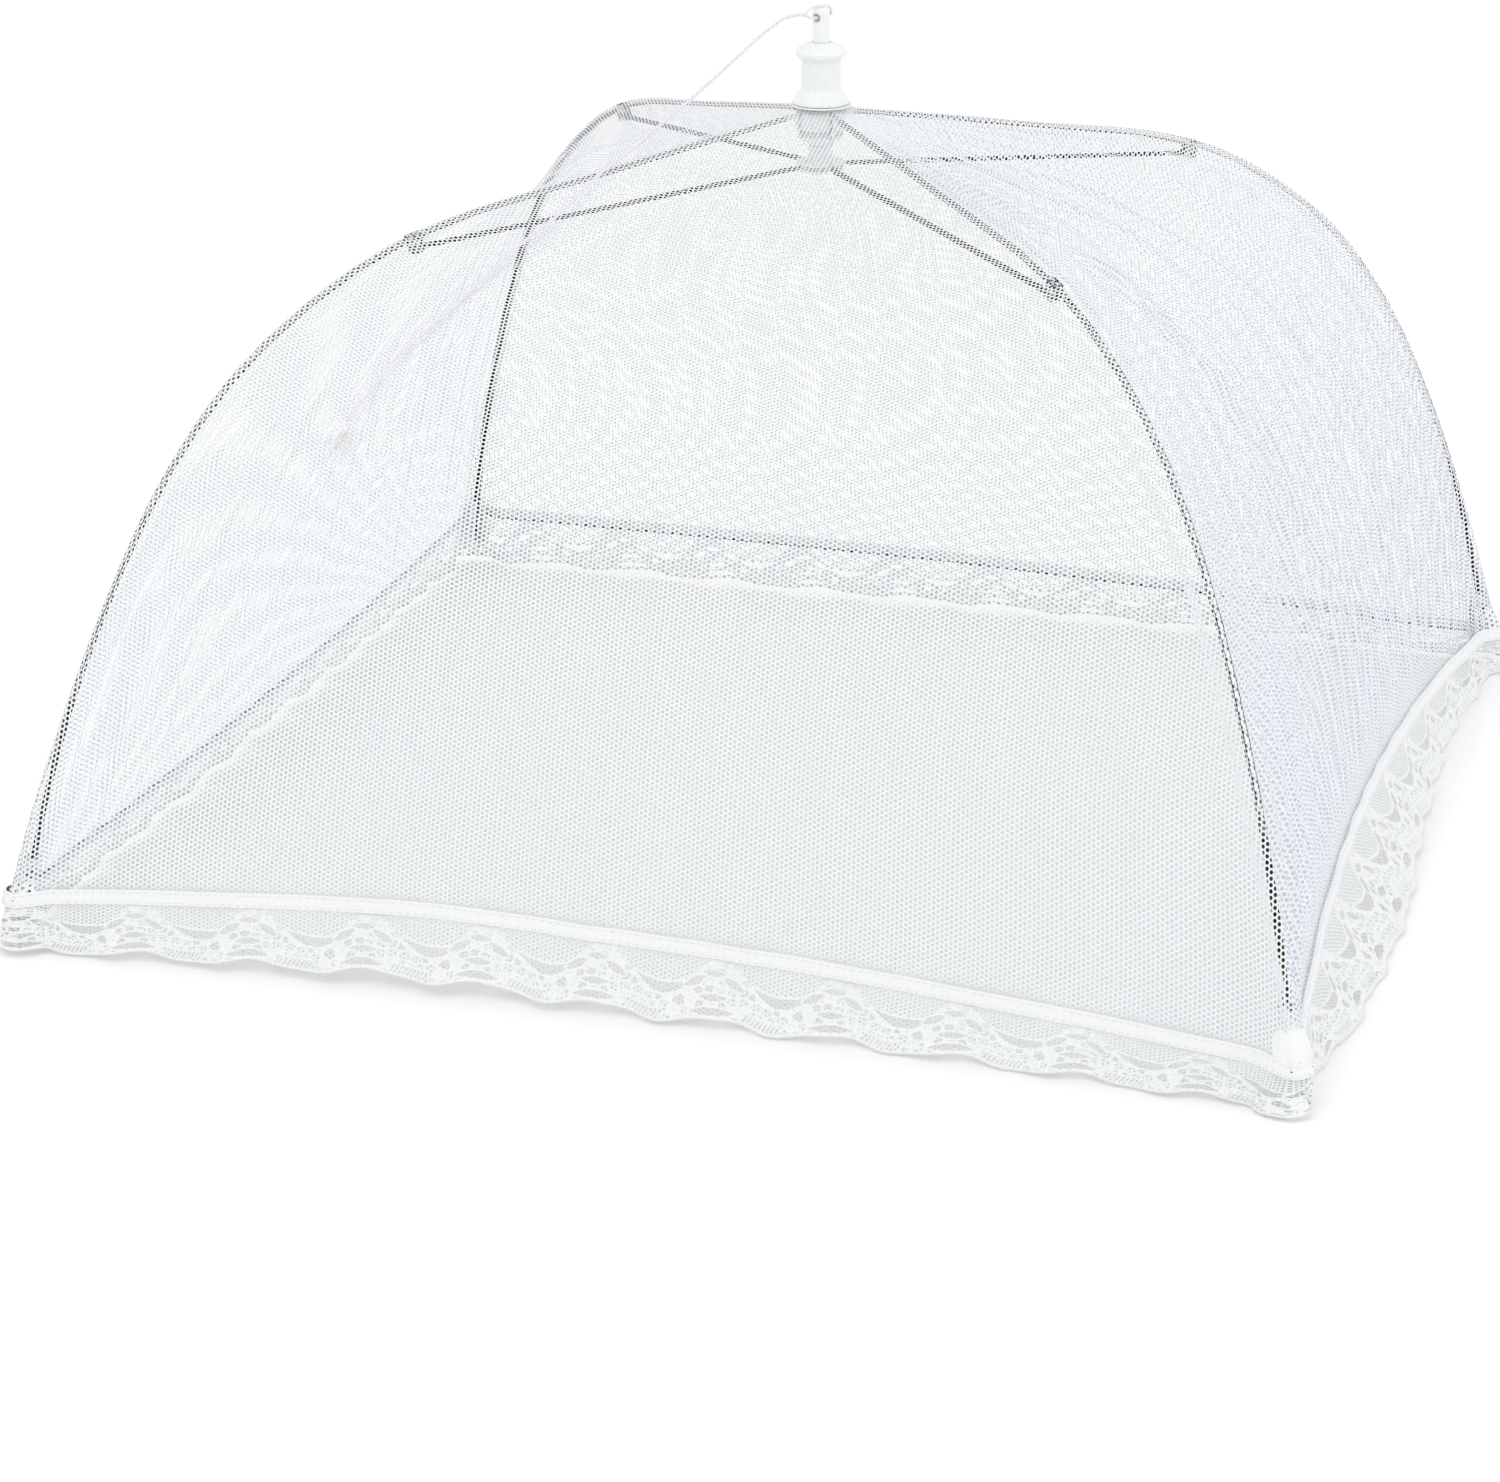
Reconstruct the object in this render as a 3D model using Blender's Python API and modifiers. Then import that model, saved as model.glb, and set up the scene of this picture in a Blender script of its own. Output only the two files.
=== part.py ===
"""Pop-up mesh food cover: a square net tent on four bowed steel ribs that folds like an umbrella.

Metres, +Z up. The origin is on the table, under the crown, and the cover's sides lie along X and Y
with the front facing -Y. Lengths (rho, z) are a distance out from the crown's axis and a height.
"""

import math

import bmesh
import bpy
from mathutils import Matrix, Vector

# Gap between pieces, corners and sides of the square plan, and facets round a turned piece
GAP = 0.0003
CORNERS = {"front_left": 225, "front_right": 315, "back_right": 45, "back_left": 135}
SIDES = {"front": 0, "right": 90, "back": 180, "left": 270}
ROUND_STEPS = 24

# Ribs: one bowed steel channel from the crown to each hem corner
RIB_LINE = [
    (0.0095, 0.2543), (0.080, 0.2423), (0.156, 0.2274), (0.2096, 0.1975),
    (0.245, 0.159), (0.272, 0.1105), (0.290, 0.066), (0.304, 0.0175),
]
RIB_STEPS = 3
CHANNEL_WIDTH = 0.0020
CHANNEL_HEIGHT = 0.0012
CHANNEL_WALL = 0.0003
TONGUE = 0.0009
TIP_PLATE_R = 0.0020
TIP_HOLE_R = 0.0013

# Pivots, as (rho, z): rib on crown, strut on rib, strut on runner
RIB_PIVOT = (0.0075, 0.248)
STRUT_PIVOT = (0.1553, 0.224)
RUNNER_PIVOT = (0.0075, 0.2358)
EYE_R = 0.0013
PIVOT_HOLE_R = 0.0009
STRUT_END_RHO = 0.0077

# Crown, finial and wire rings
CROWN_R = 0.0086
CROWN_TOP = 0.2560
CROWN_FOOT = 0.2433
CROWN_TUBE_R = 0.0052
CROWN_TUBE_TOP = 0.2700
SLOT_WIDTH = 0.0019
SLOT_FLOOR_R = 0.0059
WIRE_R = 0.00045
FINIAL_BASE = 0.25795
FINIAL_TOP = 0.2791
PATCH_R = 0.0105
PATCH_Z = (0.25715, 0.25765)

# Runner and plunger
RUNNER_R = 0.0084
RUNNER_HALF = 0.0016
RUNNER_NECK_R = 0.0042
RUNNER_NECK_TOP = 0.2430
RUNNER_SLOT_FLOOR_R = 0.0050
RUNNER_RING_R = 0.0065
POST_R = 0.0030
POST_TOP = 0.2912
POST_EYE_Z = 0.2878
POST_EYE_R = 0.0016
POST_EYE_TURN = 248

# Bracket and rivet at the strut joint
BRACKET_LENGTH = 0.0052
BRACKET_WALL = 0.0003
RIVET_R = 0.0006
RIVET_HEAD_R = 0.0012

# Net, hem and lace
NET_THICK = 0.0004
SEAM_OFFSET = 0.0029
SEAM_OFFSET_TOP = 0.0016
SEAM_LOW_TO = 0.085
SEAM_HIGH_FROM = 0.130
SEAM_GAP = 0.00045
NET_TOP_RHO = 0.0086
NET_SAG = 0.013
HEM_RISE = 0.006
HEM_HALF = 0.2165
HEM_Z = 0.018
HEM_WIDTH = 0.008
HEM_THICK = 0.0008
HEM_END = 0.0090
LACE_THICK = 0.0005
LACE_FLARE = 0.006
LACE_RUFFLE = 0.0022
LACE_WAVES = 11
LACE_FOOT = 0.0010
POCKET_R = 0.0070
POCKET_WALL = 0.0008
POCKET_HEIGHT = 0.0205
PANEL_COLUMNS = 8
PANEL_ROWS = 16
PANEL_FIRST_ROW = 0.03

# Pull cord: a string doubled through the plunger's eye, over the front left rib and down the net
CORD_R = 0.0007
CORD_ROUTE = [
    (-0.0055, -0.0055, 0.2892), (-0.0084, -0.0084, 0.2890), (-0.0112, -0.0112, 0.2880),
    (-0.0167, -0.0167, 0.2834), (-0.0222, -0.0222, 0.2779), (-0.0276, -0.0276, 0.2723),
    (-0.0331, -0.0331, 0.2668), (-0.0385, -0.0385, 0.2616), (-0.0439, -0.0440, 0.2565),
    (-0.0490, -0.0494, 0.2516), (-0.0532, -0.0545, 0.2478), (-0.0561, -0.0602, 0.2455),
    (-0.0585, -0.0668, 0.2433), (-0.0603, -0.0725, 0.2410), (-0.0634, -0.0860, 0.2362),
    (-0.0666, -0.0950, 0.2326), (-0.0701, -0.1017, 0.2298), (-0.0771, -0.1135, 0.2228),
    (-0.0849, -0.1258, 0.2140), (-0.0933, -0.1362, 0.2053), (-0.1029, -0.1460, 0.1959),
    (-0.1078, -0.1524, 0.1880), (-0.1124, -0.1572, 0.1818), (-0.1145, -0.1605, 0.1778),
]
CORD_STEPS = 3
STRAND_R = 0.0004
LOOP_ROUTE = [
    (0.0, 0.0, 0.2878), (-0.00127, -0.00315, 0.2878), (-0.0027, -0.0046, 0.2881),
    (-0.0045, -0.0045, 0.2886), (-0.0050, -0.0026, 0.2884), (-0.0044, -0.0003, 0.2880),
    (-0.0033, 0.0026, 0.2878), (-0.0006, 0.0046, 0.2878), (0.0011, 0.0046, 0.2878),
    (0.00135, 0.00334, 0.2878), (0.00067, 0.00167, 0.2878),
]
LOOP_STEPS = 2
KNOT = (-0.1160, -0.1636, 0.1758)
KNOT_R = 0.0019


def clear_scene():
    """An empty file to build in."""
    for obj in list(bpy.data.objects):
        bpy.data.objects.remove(obj, do_unlink=True)


def new_collection(name):
    """A collection linked to the scene."""
    made = bpy.data.collections.new(name)
    bpy.context.scene.collection.children.link(made)
    return made


def new_material(name, colour, roughness, metallic=0.0):
    """A Principled material of one colour."""
    made = bpy.data.materials.new(name)
    made.use_nodes = True
    shader = made.node_tree.nodes["Principled BSDF"]
    shader.inputs["Base Color"].default_value = (*colour, 1.0)
    shader.inputs["Roughness"].default_value = roughness
    shader.inputs["Metallic"].default_value = metallic
    return made


def add_part(name, mesh, material, parent=None, matrix=None, smooth_angle=40):
    """Puts a finished mesh in the part's collection as one named sub-part."""
    obj = bpy.data.objects.new(name, mesh)
    PARTS.objects.link(obj)
    if not mesh.materials:
        mesh.materials.append(material)
    mesh.shade_smooth()
    mesh.set_sharp_from_angle(angle=math.radians(smooth_angle))
    if parent is not None:
        obj.parent = parent
    if matrix is not None:
        obj.matrix_basis = matrix
    return obj


def add_empty(name, location, turn=0.0, parent=None):
    """A joint's frame: an empty on its axis, turned about Z to face a corner."""
    empty = bpy.data.objects.new(name, None)
    PARTS.objects.link(empty)
    empty.parent = parent
    empty.location = location
    empty.rotation_euler = (0, 0, math.radians(turn))
    return empty


def baked(obj):
    """The evaluated, welded mesh of an object, which is then removed."""
    bpy.context.view_layer.update()
    depsgraph = bpy.context.evaluated_depsgraph_get()
    mesh = bpy.data.meshes.new_from_object(obj.evaluated_get(depsgraph))
    mesh.transform(obj.matrix_world)
    bm = bmesh.new()
    bm.from_mesh(mesh)
    bmesh.ops.remove_doubles(bm, verts=bm.verts, dist=1e-6)
    bmesh.ops.recalc_face_normals(bm, faces=bm.faces)
    bm.to_mesh(mesh)
    bm.free()
    bpy.data.objects.remove(obj, do_unlink=True)
    return mesh


def guide(name, mesh):
    """A hidden helper object, for a Boolean modifier."""
    obj = bpy.data.objects.new(name, mesh)
    CUTTERS.objects.link(obj)
    obj.hide_render = True
    obj.display_type = "WIRE"
    return obj


def combined(base_mesh, *steps):
    """A mesh with other meshes cut from it (DIFFERENCE) or joined to it (UNION), one after another."""
    base = guide("work_base", base_mesh)
    tools = []
    for operation, mesh in steps:
        tool = guide("work_tool", mesh)
        tools.append(tool)
        modifier = base.modifiers.new("step", "BOOLEAN")
        modifier.operation = operation
        modifier.solver = "EXACT"
        modifier.object = tool
    result = baked(base)
    for tool in tools:
        bpy.data.objects.remove(tool, do_unlink=True)
    return result


def turned(profile, steps, axis="Z", turn=None):
    """A turned shape from a closed (r, z) profile that runs down its outer side."""
    mesh = bpy.data.meshes.new("turned")
    count = len(profile)
    mesh.from_pydata([(r, 0, z) for r, z in profile], [(i, (i + 1) % count) for i in range(count)], [])
    obj = guide("work_turned", mesh)
    screw = obj.modifiers.new("screw", "SCREW")
    screw.axis = axis
    screw.steps = steps
    screw.render_steps = steps
    screw.use_merge_vertices = True
    screw.merge_threshold = 0.00001
    result = baked(obj)
    if turn is not None:
        result.transform(turn)
    return result


def cylinder_mesh(radius, depth, matrix, sides=16):
    """A capped cylinder along local Z."""
    bm = bmesh.new()
    bmesh.ops.create_cone(bm, cap_ends=True, segments=sides, radius1=radius, radius2=radius, depth=depth)
    mesh = bpy.data.meshes.new("cylinder")
    bm.to_mesh(mesh)
    bm.free()
    mesh.transform(matrix)
    return mesh


def box_mesh(low, high):
    """A box between two corners."""
    bm = bmesh.new()
    bmesh.ops.create_cube(bm, size=1.0)
    size = [b - a for a, b in zip(low, high)]
    middle = [(a + b) / 2 for a, b in zip(low, high)]
    mesh = bpy.data.meshes.new("box")
    bm.to_mesh(mesh)
    bm.free()
    mesh.transform(Matrix.Translation(middle) @ Matrix.Diagonal((*size, 1)))
    return mesh


def arc(centre, radius, start, end, steps):
    """Points on an arc, in degrees, end included."""
    turns = [math.radians(start + (end - start) * i / steps) for i in range(steps + 1)]
    return [(centre[0] + radius * math.cos(a), centre[1] + radius * math.sin(a)) for a in turns]


def plate_mesh(outline, holes, thickness):
    """A flat plate in the (rho, z) plane, centred on y = 0, with round holes as (centre, radius)."""
    curve = bpy.data.curves.new("plate", "CURVE")
    curve.dimensions = "2D"
    curve.fill_mode = "BOTH"
    curve.extrude = thickness / 2
    rings = [outline] + [arc(centre, radius, 0, 330, 11) for centre, radius in holes]
    for ring in rings:
        spline = curve.splines.new("POLY")
        spline.points.add(len(ring) - 1)
        for point, (x, y) in zip(spline.points, ring):
            point.co = (x, y, 0, 1)
        spline.use_cyclic_u = True
    obj = bpy.data.objects.new("work_plate", curve)
    CUTTERS.objects.link(obj)
    obj.rotation_euler = (math.pi / 2, 0, 0)
    return baked(obj)


def smooth_line(control, steps, closed=False):
    """Points on a Catmull-Rom curve through the control points, steps to each span."""
    first = [2 * a - b for a, b in zip(control[0], control[1])]
    last = [2 * a - b for a, b in zip(control[-1], control[-2])]
    points = [control[-1], *control, control[0], control[1]] if closed else [first, *control, last]
    line = []
    for i in range(1, len(points) - 2):
        p0, p1, p2, p3 = points[i - 1:i + 3]
        for k in range(steps):
            u = k / steps
            line.append(tuple(
                0.5 * (2 * b + (c - a) * u + (2 * a - 5 * b + 4 * c - d) * u ** 2
                       + (3 * b - a - 3 * c + d) * u ** 3)
                for a, b, c, d in zip(p0, p1, p2, p3)
            ))
    return line if closed else line + [tuple(control[-1])]


def channel_mesh(line):
    """A steel channel along a line of (rho, z) points, its open side facing down."""
    half, top, foot, wall = CHANNEL_WIDTH / 2, CHANNEL_HEIGHT / 2, -CHANNEL_HEIGHT / 2, CHANNEL_WALL
    outline = [
        (-half, foot), (-half, top), (half, top), (half, foot),
        (half - wall, foot), (half - wall, top - wall), (wall - half, top - wall), (wall - half, foot),
    ]
    section = bpy.data.curves.new("section", "CURVE")
    section.dimensions = "2D"
    ring = section.splines.new("POLY")
    ring.points.add(len(outline) - 1)
    for point, (x, y) in zip(ring.points, outline):
        point.co = (x, y, 0, 1)
    ring.use_cyclic_u = True
    section_obj = bpy.data.objects.new("work_section", section)
    CUTTERS.objects.link(section_obj)
    path = bpy.data.curves.new("path", "CURVE")
    path.dimensions = "3D"
    path.twist_mode = "Z_UP"
    path.bevel_mode = "OBJECT"
    path.bevel_object = section_obj
    path.use_fill_caps = True
    spline = path.splines.new("POLY")
    spline.points.add(len(line) - 1)
    for point, (rho, z) in zip(spline.points, line):
        point.co = (rho, 0, z, 1)
    obj = bpy.data.objects.new("work_channel", path)
    CUTTERS.objects.link(obj)
    mesh = baked(obj)
    bpy.data.objects.remove(section_obj, do_unlink=True)
    return mesh


def moved(mesh, pivot):
    """The mesh with a (rho, z) pivot as its origin."""
    mesh.transform(Matrix.Translation((-pivot[0], 0, -pivot[1])))
    return mesh


def rib_line():
    """The rib's centreline, crown to tip."""
    return smooth_line(RIB_LINE, RIB_STEPS)


def rib_mesh():
    """One rib: a bowed channel with a hooked eye at the crown and a holed plate at the tip."""
    line = rib_line()
    (x0, z0), (x1, z1) = line[0], line[1]
    lift = CHANNEL_HEIGHT / 2 - CHANNEL_WALL / 2
    hook = arc(RIB_PIVOT, EYE_R, 180, 360, 8)
    hook += [(x0 + 0.0010, z0 - 0.0012), (x1, z1 - 0.0003), (x1, z1 + lift), (x0, z0 + lift)]
    hook += [(RIB_PIVOT[0] - EYE_R * 0.6, z0 - 0.0008)]
    tip = line[-1]
    before = line[-2]
    down = (Vector(tip) - Vector(before)).normalized()
    angle = math.degrees(math.atan2(down.y, down.x))
    plate = arc(tip, TIP_PLATE_R, angle - 115, angle + 115, 10)
    side = Vector((-down.y, down.x)) * (CHANNEL_HEIGHT / 2 - CHANNEL_WALL / 2)
    back = Vector(tip) - down * 0.006
    plate += [tuple(back + side), tuple(back - side)]
    return moved(combined(
        channel_mesh(line[:-1] + [tuple(Vector(tip) - down * (TIP_PLATE_R + GAP))]),
        ("UNION", plate_mesh(hook, [(RIB_PIVOT, PIVOT_HOLE_R)], TONGUE)),
        ("UNION", plate_mesh(plate, [(tip, TIP_HOLE_R)], TONGUE)),
    ), RIB_PIVOT)


def strut_mesh():
    """One strut: a straight channel with an eye on the rib's rivet and a tongue for the runner's slot."""
    outer, inner = Vector(STRUT_PIVOT), Vector(RUNNER_PIVOT)
    along = (inner - outer).normalized()
    across = Vector((-along.y, along.x))
    half = CHANNEL_HEIGHT / 2 - CHANNEL_WALL / 2
    start, end = outer + along * 0.0024, inner - along * 0.0030
    angle = math.degrees(math.atan2(along.y, along.x))
    eye = arc(STRUT_PIVOT, EYE_R + 0.0001, angle + 40, angle + 320, 10)
    eye += [tuple(outer + along * 0.006 - across * half), tuple(outer + along * 0.006 + across * half)]
    stop = inner - along * ((STRUT_END_RHO - inner.x) / -along.x)
    tongue = [
        tuple(end - along * 0.004 + across * half), tuple(stop + across * half),
        tuple(stop - across * half), tuple(end - along * 0.004 - across * half),
    ]
    return moved(combined(
        channel_mesh([tuple(end), tuple(start)]),
        ("UNION", plate_mesh(eye, [(STRUT_PIVOT, PIVOT_HOLE_R)], TONGUE)),
        ("UNION", plate_mesh(tongue, [], TONGUE)),
    ), STRUT_PIVOT)


def bracket_mesh():
    """The clip folded over the rib, with two ears below it for the strut's rivet."""
    rib_z = rib_height_at(STRUT_PIVOT[0])
    inner = CHANNEL_WIDTH / 2 + GAP
    outer = inner + BRACKET_WALL
    top = CHANNEL_HEIGHT / 2 + GAP
    foot = STRUT_PIVOT[1] - rib_z - 0.0018
    outline = [
        (-outer, foot), (-outer, top + BRACKET_WALL), (outer, top + BRACKET_WALL), (outer, foot),
        (inner, foot), (inner, top), (-inner, top), (-inner, foot),
    ]
    clip = plate_mesh(outline, [], BRACKET_LENGTH)
    clip.transform(Matrix.Rotation(math.pi / 2, 4, "Z"))
    slope = rib_slope_at(STRUT_PIVOT[0])
    clip.transform(Matrix.Translation((STRUT_PIVOT[0], 0, rib_z)) @ Matrix.Rotation(slope, 4, "Y"))
    hole = cylinder_mesh(PIVOT_HOLE_R, 0.01, across_at(STRUT_PIVOT), 12)
    return moved(combined(clip, ("DIFFERENCE", hole)), RIB_PIVOT)


def across_at(pivot):
    """A matrix that lays local Z along the joint's axis, at a (rho, z) pivot."""
    return Matrix.Translation((pivot[0], 0, pivot[1])) @ Matrix.Rotation(math.pi / 2, 4, "X")


def rivet_mesh():
    """A rivet through the bracket's ears, with a head at each end."""
    ear = CHANNEL_WIDTH / 2 + 2 * GAP + BRACKET_WALL
    profile = [
        (0.0, ear + 0.0005), (RIVET_HEAD_R * 0.7, ear + 0.0005), (RIVET_HEAD_R, ear + 0.0002),
        (RIVET_HEAD_R, ear), (RIVET_R, ear), (RIVET_R, -ear), (RIVET_HEAD_R, -ear),
        (RIVET_HEAD_R, -ear - 0.0002), (RIVET_HEAD_R * 0.7, -ear - 0.0005), (0.0, -ear - 0.0005),
    ]
    return moved(turned(profile, 12, turn=across_at(STRUT_PIVOT)), RIB_PIVOT)


def eyelet_mesh():
    """The pressed ring through the rib's tip plate, which the hem's corner is sewn to."""
    tip = RIB_LINE[-1]
    barrel, bore = TIP_HOLE_R - GAP, TIP_HOLE_R - 2 * GAP
    face = TONGUE / 2 + GAP
    profile = [
        (bore, face + 0.0003), (TIP_PLATE_R, face + 0.0003), (TIP_PLATE_R, face), (barrel, face),
        (barrel, -face), (TIP_PLATE_R, -face), (TIP_PLATE_R, -face - 0.0003), (bore, -face - 0.0003),
    ]
    return moved(turned(profile, 12, turn=across_at(tip)), RIB_PIVOT)


def rib_height_at(rho):
    """The height of the rib's centreline at a distance from the axis."""
    line = rib_line()
    for (x0, z0), (x1, z1) in zip(line, line[1:]):
        if x0 <= rho <= x1:
            return z0 + (z1 - z0) * (rho - x0) / (x1 - x0)
    return line[-1][1]


def rib_slope_at(rho):
    """How far the rib points down there, in radians."""
    step = 0.002
    return math.atan2(rib_height_at(rho - step) - rib_height_at(rho + step), 2 * step)


def slotted(mesh, floor, low, high):
    """The turned mesh with a radial slot cut from it towards each corner."""
    steps = []
    for turn in CORNERS.values():
        slot = box_mesh((floor, -SLOT_WIDTH / 2, low), (0.02, SLOT_WIDTH / 2, high))
        slot.transform(Matrix.Rotation(math.radians(turn), 4, "Z"))
        steps.append(("DIFFERENCE", slot))
    return combined(mesh, *steps)


def crown_mesh():
    """The notched crown: a tube up through the net, and a slotted disc with a groove for the wire."""
    z = RIB_PIVOT[1]
    bore = POST_R + GAP
    profile = [
        (bore, CROWN_TUBE_TOP), (CROWN_TUBE_R, CROWN_TUBE_TOP), (CROWN_TUBE_R, CROWN_TOP),
        (CROWN_R - 0.0016, CROWN_TOP), (CROWN_R, CROWN_TOP - 0.0013),
        (CROWN_R, z + 0.0011), (0.0069, z + 0.0011), (0.0069, z - 0.0011),
        (0.0079, z - 0.0011), (0.0079, z - 0.0026), (0.0048, z - 0.0030), (0.0045, CROWN_FOOT),
        (bore, CROWN_FOOT),
    ]
    return slotted(turned(profile, ROUND_STEPS), SLOT_FLOOR_R, z - 0.004, CROWN_TOP + 0.001)


def finial_mesh():
    """The cap over the net: flared foot, straight body and a bead collar, bored for the plunger."""
    bore, socket = POST_R + GAP, CROWN_TUBE_R + GAP
    profile = [
        (bore, FINIAL_TOP), (0.0045, FINIAL_TOP), (0.0078, 0.2775), (0.0090, 0.2758),
        (0.0086, 0.2745), (0.0070, 0.2729), (0.00685, 0.2720), (0.00690, 0.2632),
        (0.0083, 0.2615), (0.0097, 0.2592), (0.0100, FINIAL_BASE + 0.0006), (0.0100, FINIAL_BASE),
        (socket, FINIAL_BASE), (socket, CROWN_TUBE_TOP + GAP), (bore, CROWN_TUBE_TOP + GAP),
    ]
    return turned(profile, ROUND_STEPS)


def patch_mesh():
    """The round cloth patch between the net and the finial."""
    hole = CROWN_TUBE_R + GAP
    low, high = PATCH_Z
    return turned([(hole, high), (PATCH_R, high), (PATCH_R, low), (hole, low)], ROUND_STEPS)


def runner_mesh():
    """The runner: a grooved, slotted flange on a neck that carries the plunger."""
    z = RUNNER_PIVOT[1]
    groove = 0.0008
    bore = POST_R + GAP
    profile = [
        (bore, RUNNER_NECK_TOP), (RUNNER_NECK_R, RUNNER_NECK_TOP), (RUNNER_NECK_R, z + 0.0030),
        (0.0056, z + RUNNER_HALF), (RUNNER_R, z + RUNNER_HALF), (RUNNER_R, z + groove),
        (0.0057, z + groove), (0.0057, z - groove), (RUNNER_R, z - groove),
        (RUNNER_R, z - RUNNER_HALF), (bore, z - RUNNER_HALF),
    ]
    return slotted(turned(profile, ROUND_STEPS), RUNNER_SLOT_FLOOR_R, z - 0.004, z + 0.0031)


def post_mesh():
    """The plunger post, with a cross eye for the cord near its rounded top."""
    foot = RUNNER_PIVOT[1] - RUNNER_HALF
    rounding = [(POST_R * math.sin(a), POST_TOP - 0.0016 * (1 - math.cos(a)))
                for a in (0.0, 0.5, 0.9, 1.25, math.pi / 2)]
    profile = [*rounding, (POST_R, foot), (0.0, foot)]
    post = turned(profile, 20)
    turn = Matrix.Rotation(math.radians(POST_EYE_TURN), 4, "Z") @ Matrix.Rotation(math.pi / 2, 4, "Y")
    eye = Matrix.Translation((0, 0, POST_EYE_Z)) @ turn
    return combined(post, ("DIFFERENCE", cylinder_mesh(POST_EYE_R, 0.02, eye, 16)))


def ring_mesh(radius, z):
    """A closed ring of tie wire around the axis."""
    bpy.ops.mesh.primitive_torus_add(
        major_radius=radius, minor_radius=WIRE_R, major_segments=ROUND_STEPS, minor_segments=6,
        location=(0, 0, z),
    )
    obj = bpy.context.object
    mesh = obj.data.copy()
    mesh.transform(obj.matrix_world)
    bpy.data.objects.remove(obj, do_unlink=True)
    return mesh


def seam_line():
    """The net's seam over a rib: (rho, z, slope) for each step from the crown to just over the hem."""
    line = smooth_line(RIB_LINE, 16)
    seam = []
    for (x0, z0), (x1, z1) in zip(line, line[1:]):
        slope = math.atan2(z0 - z1, x1 - x0)
        share = min(max((x0 - SEAM_LOW_TO) / (SEAM_HIGH_FROM - SEAM_LOW_TO), 0.0), 1.0)
        offset = SEAM_OFFSET_TOP + (SEAM_OFFSET - SEAM_OFFSET_TOP) * share
        rho = (x0 + x1) / 2 + offset * math.sin(slope)
        z = (z0 + z1) / 2 + offset * math.cos(slope)
        seam.append((rho, z, slope))
    return seam


def seam_at(share):
    """A point at a share of the seam's length."""
    seam = [(NET_TOP_RHO, CROWN_TOP + 0.0006, 0.16)] + [p for p in seam_line() if p[0] > 0.012]
    seam = [p for p in seam if p[1] > HEM_Z + HEM_WIDTH / 2 + 0.0004]
    lengths = [0.0]
    for a, b in zip(seam, seam[1:]):
        lengths.append(lengths[-1] + math.dist(a[:2], b[:2]))
    want = share * lengths[-1]
    for i in range(1, len(lengths)):
        if want <= lengths[i] + 1e-9:
            u = (want - lengths[i - 1]) / (lengths[i] - lengths[i - 1])
            return tuple(a + (b - a) * u for a, b in zip(seam[i - 1], seam[i]))
    return seam[-1]


def net_point(s, t):
    """A point of the front net panel: s from the left rib to the right one, t from crown to hem."""
    row = t * PANEL_ROWS
    t = PANEL_FIRST_ROW * min(row, 1.0) + (1 - PANEL_FIRST_ROW) * max(row - 1, 0.0) / (PANEL_ROWS - 1)
    rho, z, slope = seam_at(t)
    half = rho / math.sqrt(2)
    bow = 4 * s * (1 - s)
    steep = math.atan(math.sqrt(2) * math.tan(slope))
    sag = NET_SAG * min(1.0, t / 0.4) ** 1.2 * bow
    rise = 1.4 * HEM_RISE * t ** 6 * bow
    reach = half - SEAM_GAP
    return Vector(((2 * s - 1) * reach, sag * math.sin(steep) - half, z - sag * math.cos(steep) + rise))


def sheet_mesh(columns, rows, place, thickness):
    """A cloth sheet: a grid bent by place(s, v), then given its thickness."""
    bpy.ops.mesh.primitive_grid_add(x_subdivisions=columns, y_subdivisions=rows, size=1.0)
    obj = bpy.context.object
    for vertex in obj.data.vertices:
        vertex.co = place(vertex.co.x + 0.5, 0.5 - vertex.co.y)
    solid = obj.modifiers.new("thickness", "SOLIDIFY")
    solid.thickness = thickness
    solid.offset = 0.0
    return baked(obj)


def hem_line(s):
    """The hem tape's centreline on the front side, drawn in and up at its middle."""
    reach = HEM_HALF - HEM_END
    x = (2 * s - 1) * reach
    bow = 1 - (x / HEM_HALF) ** 2
    return x, -(HEM_HALF - NET_SAG * bow), HEM_Z + HEM_RISE * bow


def hem_point(s, v):
    """A point of the hem tape."""
    x, y, z = hem_line(s)
    return Vector((x, y, z + HEM_WIDTH * (0.5 - v)))


def lace_point(s, v):
    """A point of the ruffled lace frill, which hangs from the tape to just over the table."""
    x, y, z = hem_line(s)
    top = z - HEM_WIDTH / 2 - GAP
    foot = LACE_FOOT + 0.4 * (z - HEM_Z)
    ruffle = LACE_RUFFLE * math.cos(2 * math.pi * LACE_WAVES * s) * v
    return Vector((x, y - LACE_FLARE * v ** 1.5 + ruffle, top + (foot - top) * v))


def pocket_mesh():
    """The corner pocket that a rib's tip sits in: a cup open at the top and towards the crown."""
    bm = bmesh.new()
    bmesh.ops.create_cone(
        bm, cap_ends=True, segments=16, radius1=POCKET_R, radius2=POCKET_R, depth=POCKET_HEIGHT,
    )
    bm.normal_update()
    inner = [f for f in bm.faces if f.normal.z > 0.9 or f.normal.x < -0.6]
    bmesh.ops.delete(bm, geom=inner, context="FACES")
    mesh = bpy.data.meshes.new("pocket")
    bm.to_mesh(mesh)
    bm.free()
    mesh.transform(Matrix.Translation((0, 0, POCKET_HEIGHT / 2)))
    obj = guide("work_pocket", mesh)
    solid = obj.modifiers.new("wall", "SOLIDIFY")
    solid.thickness = POCKET_WALL
    solid.offset = -1.0
    return baked(obj)


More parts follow.
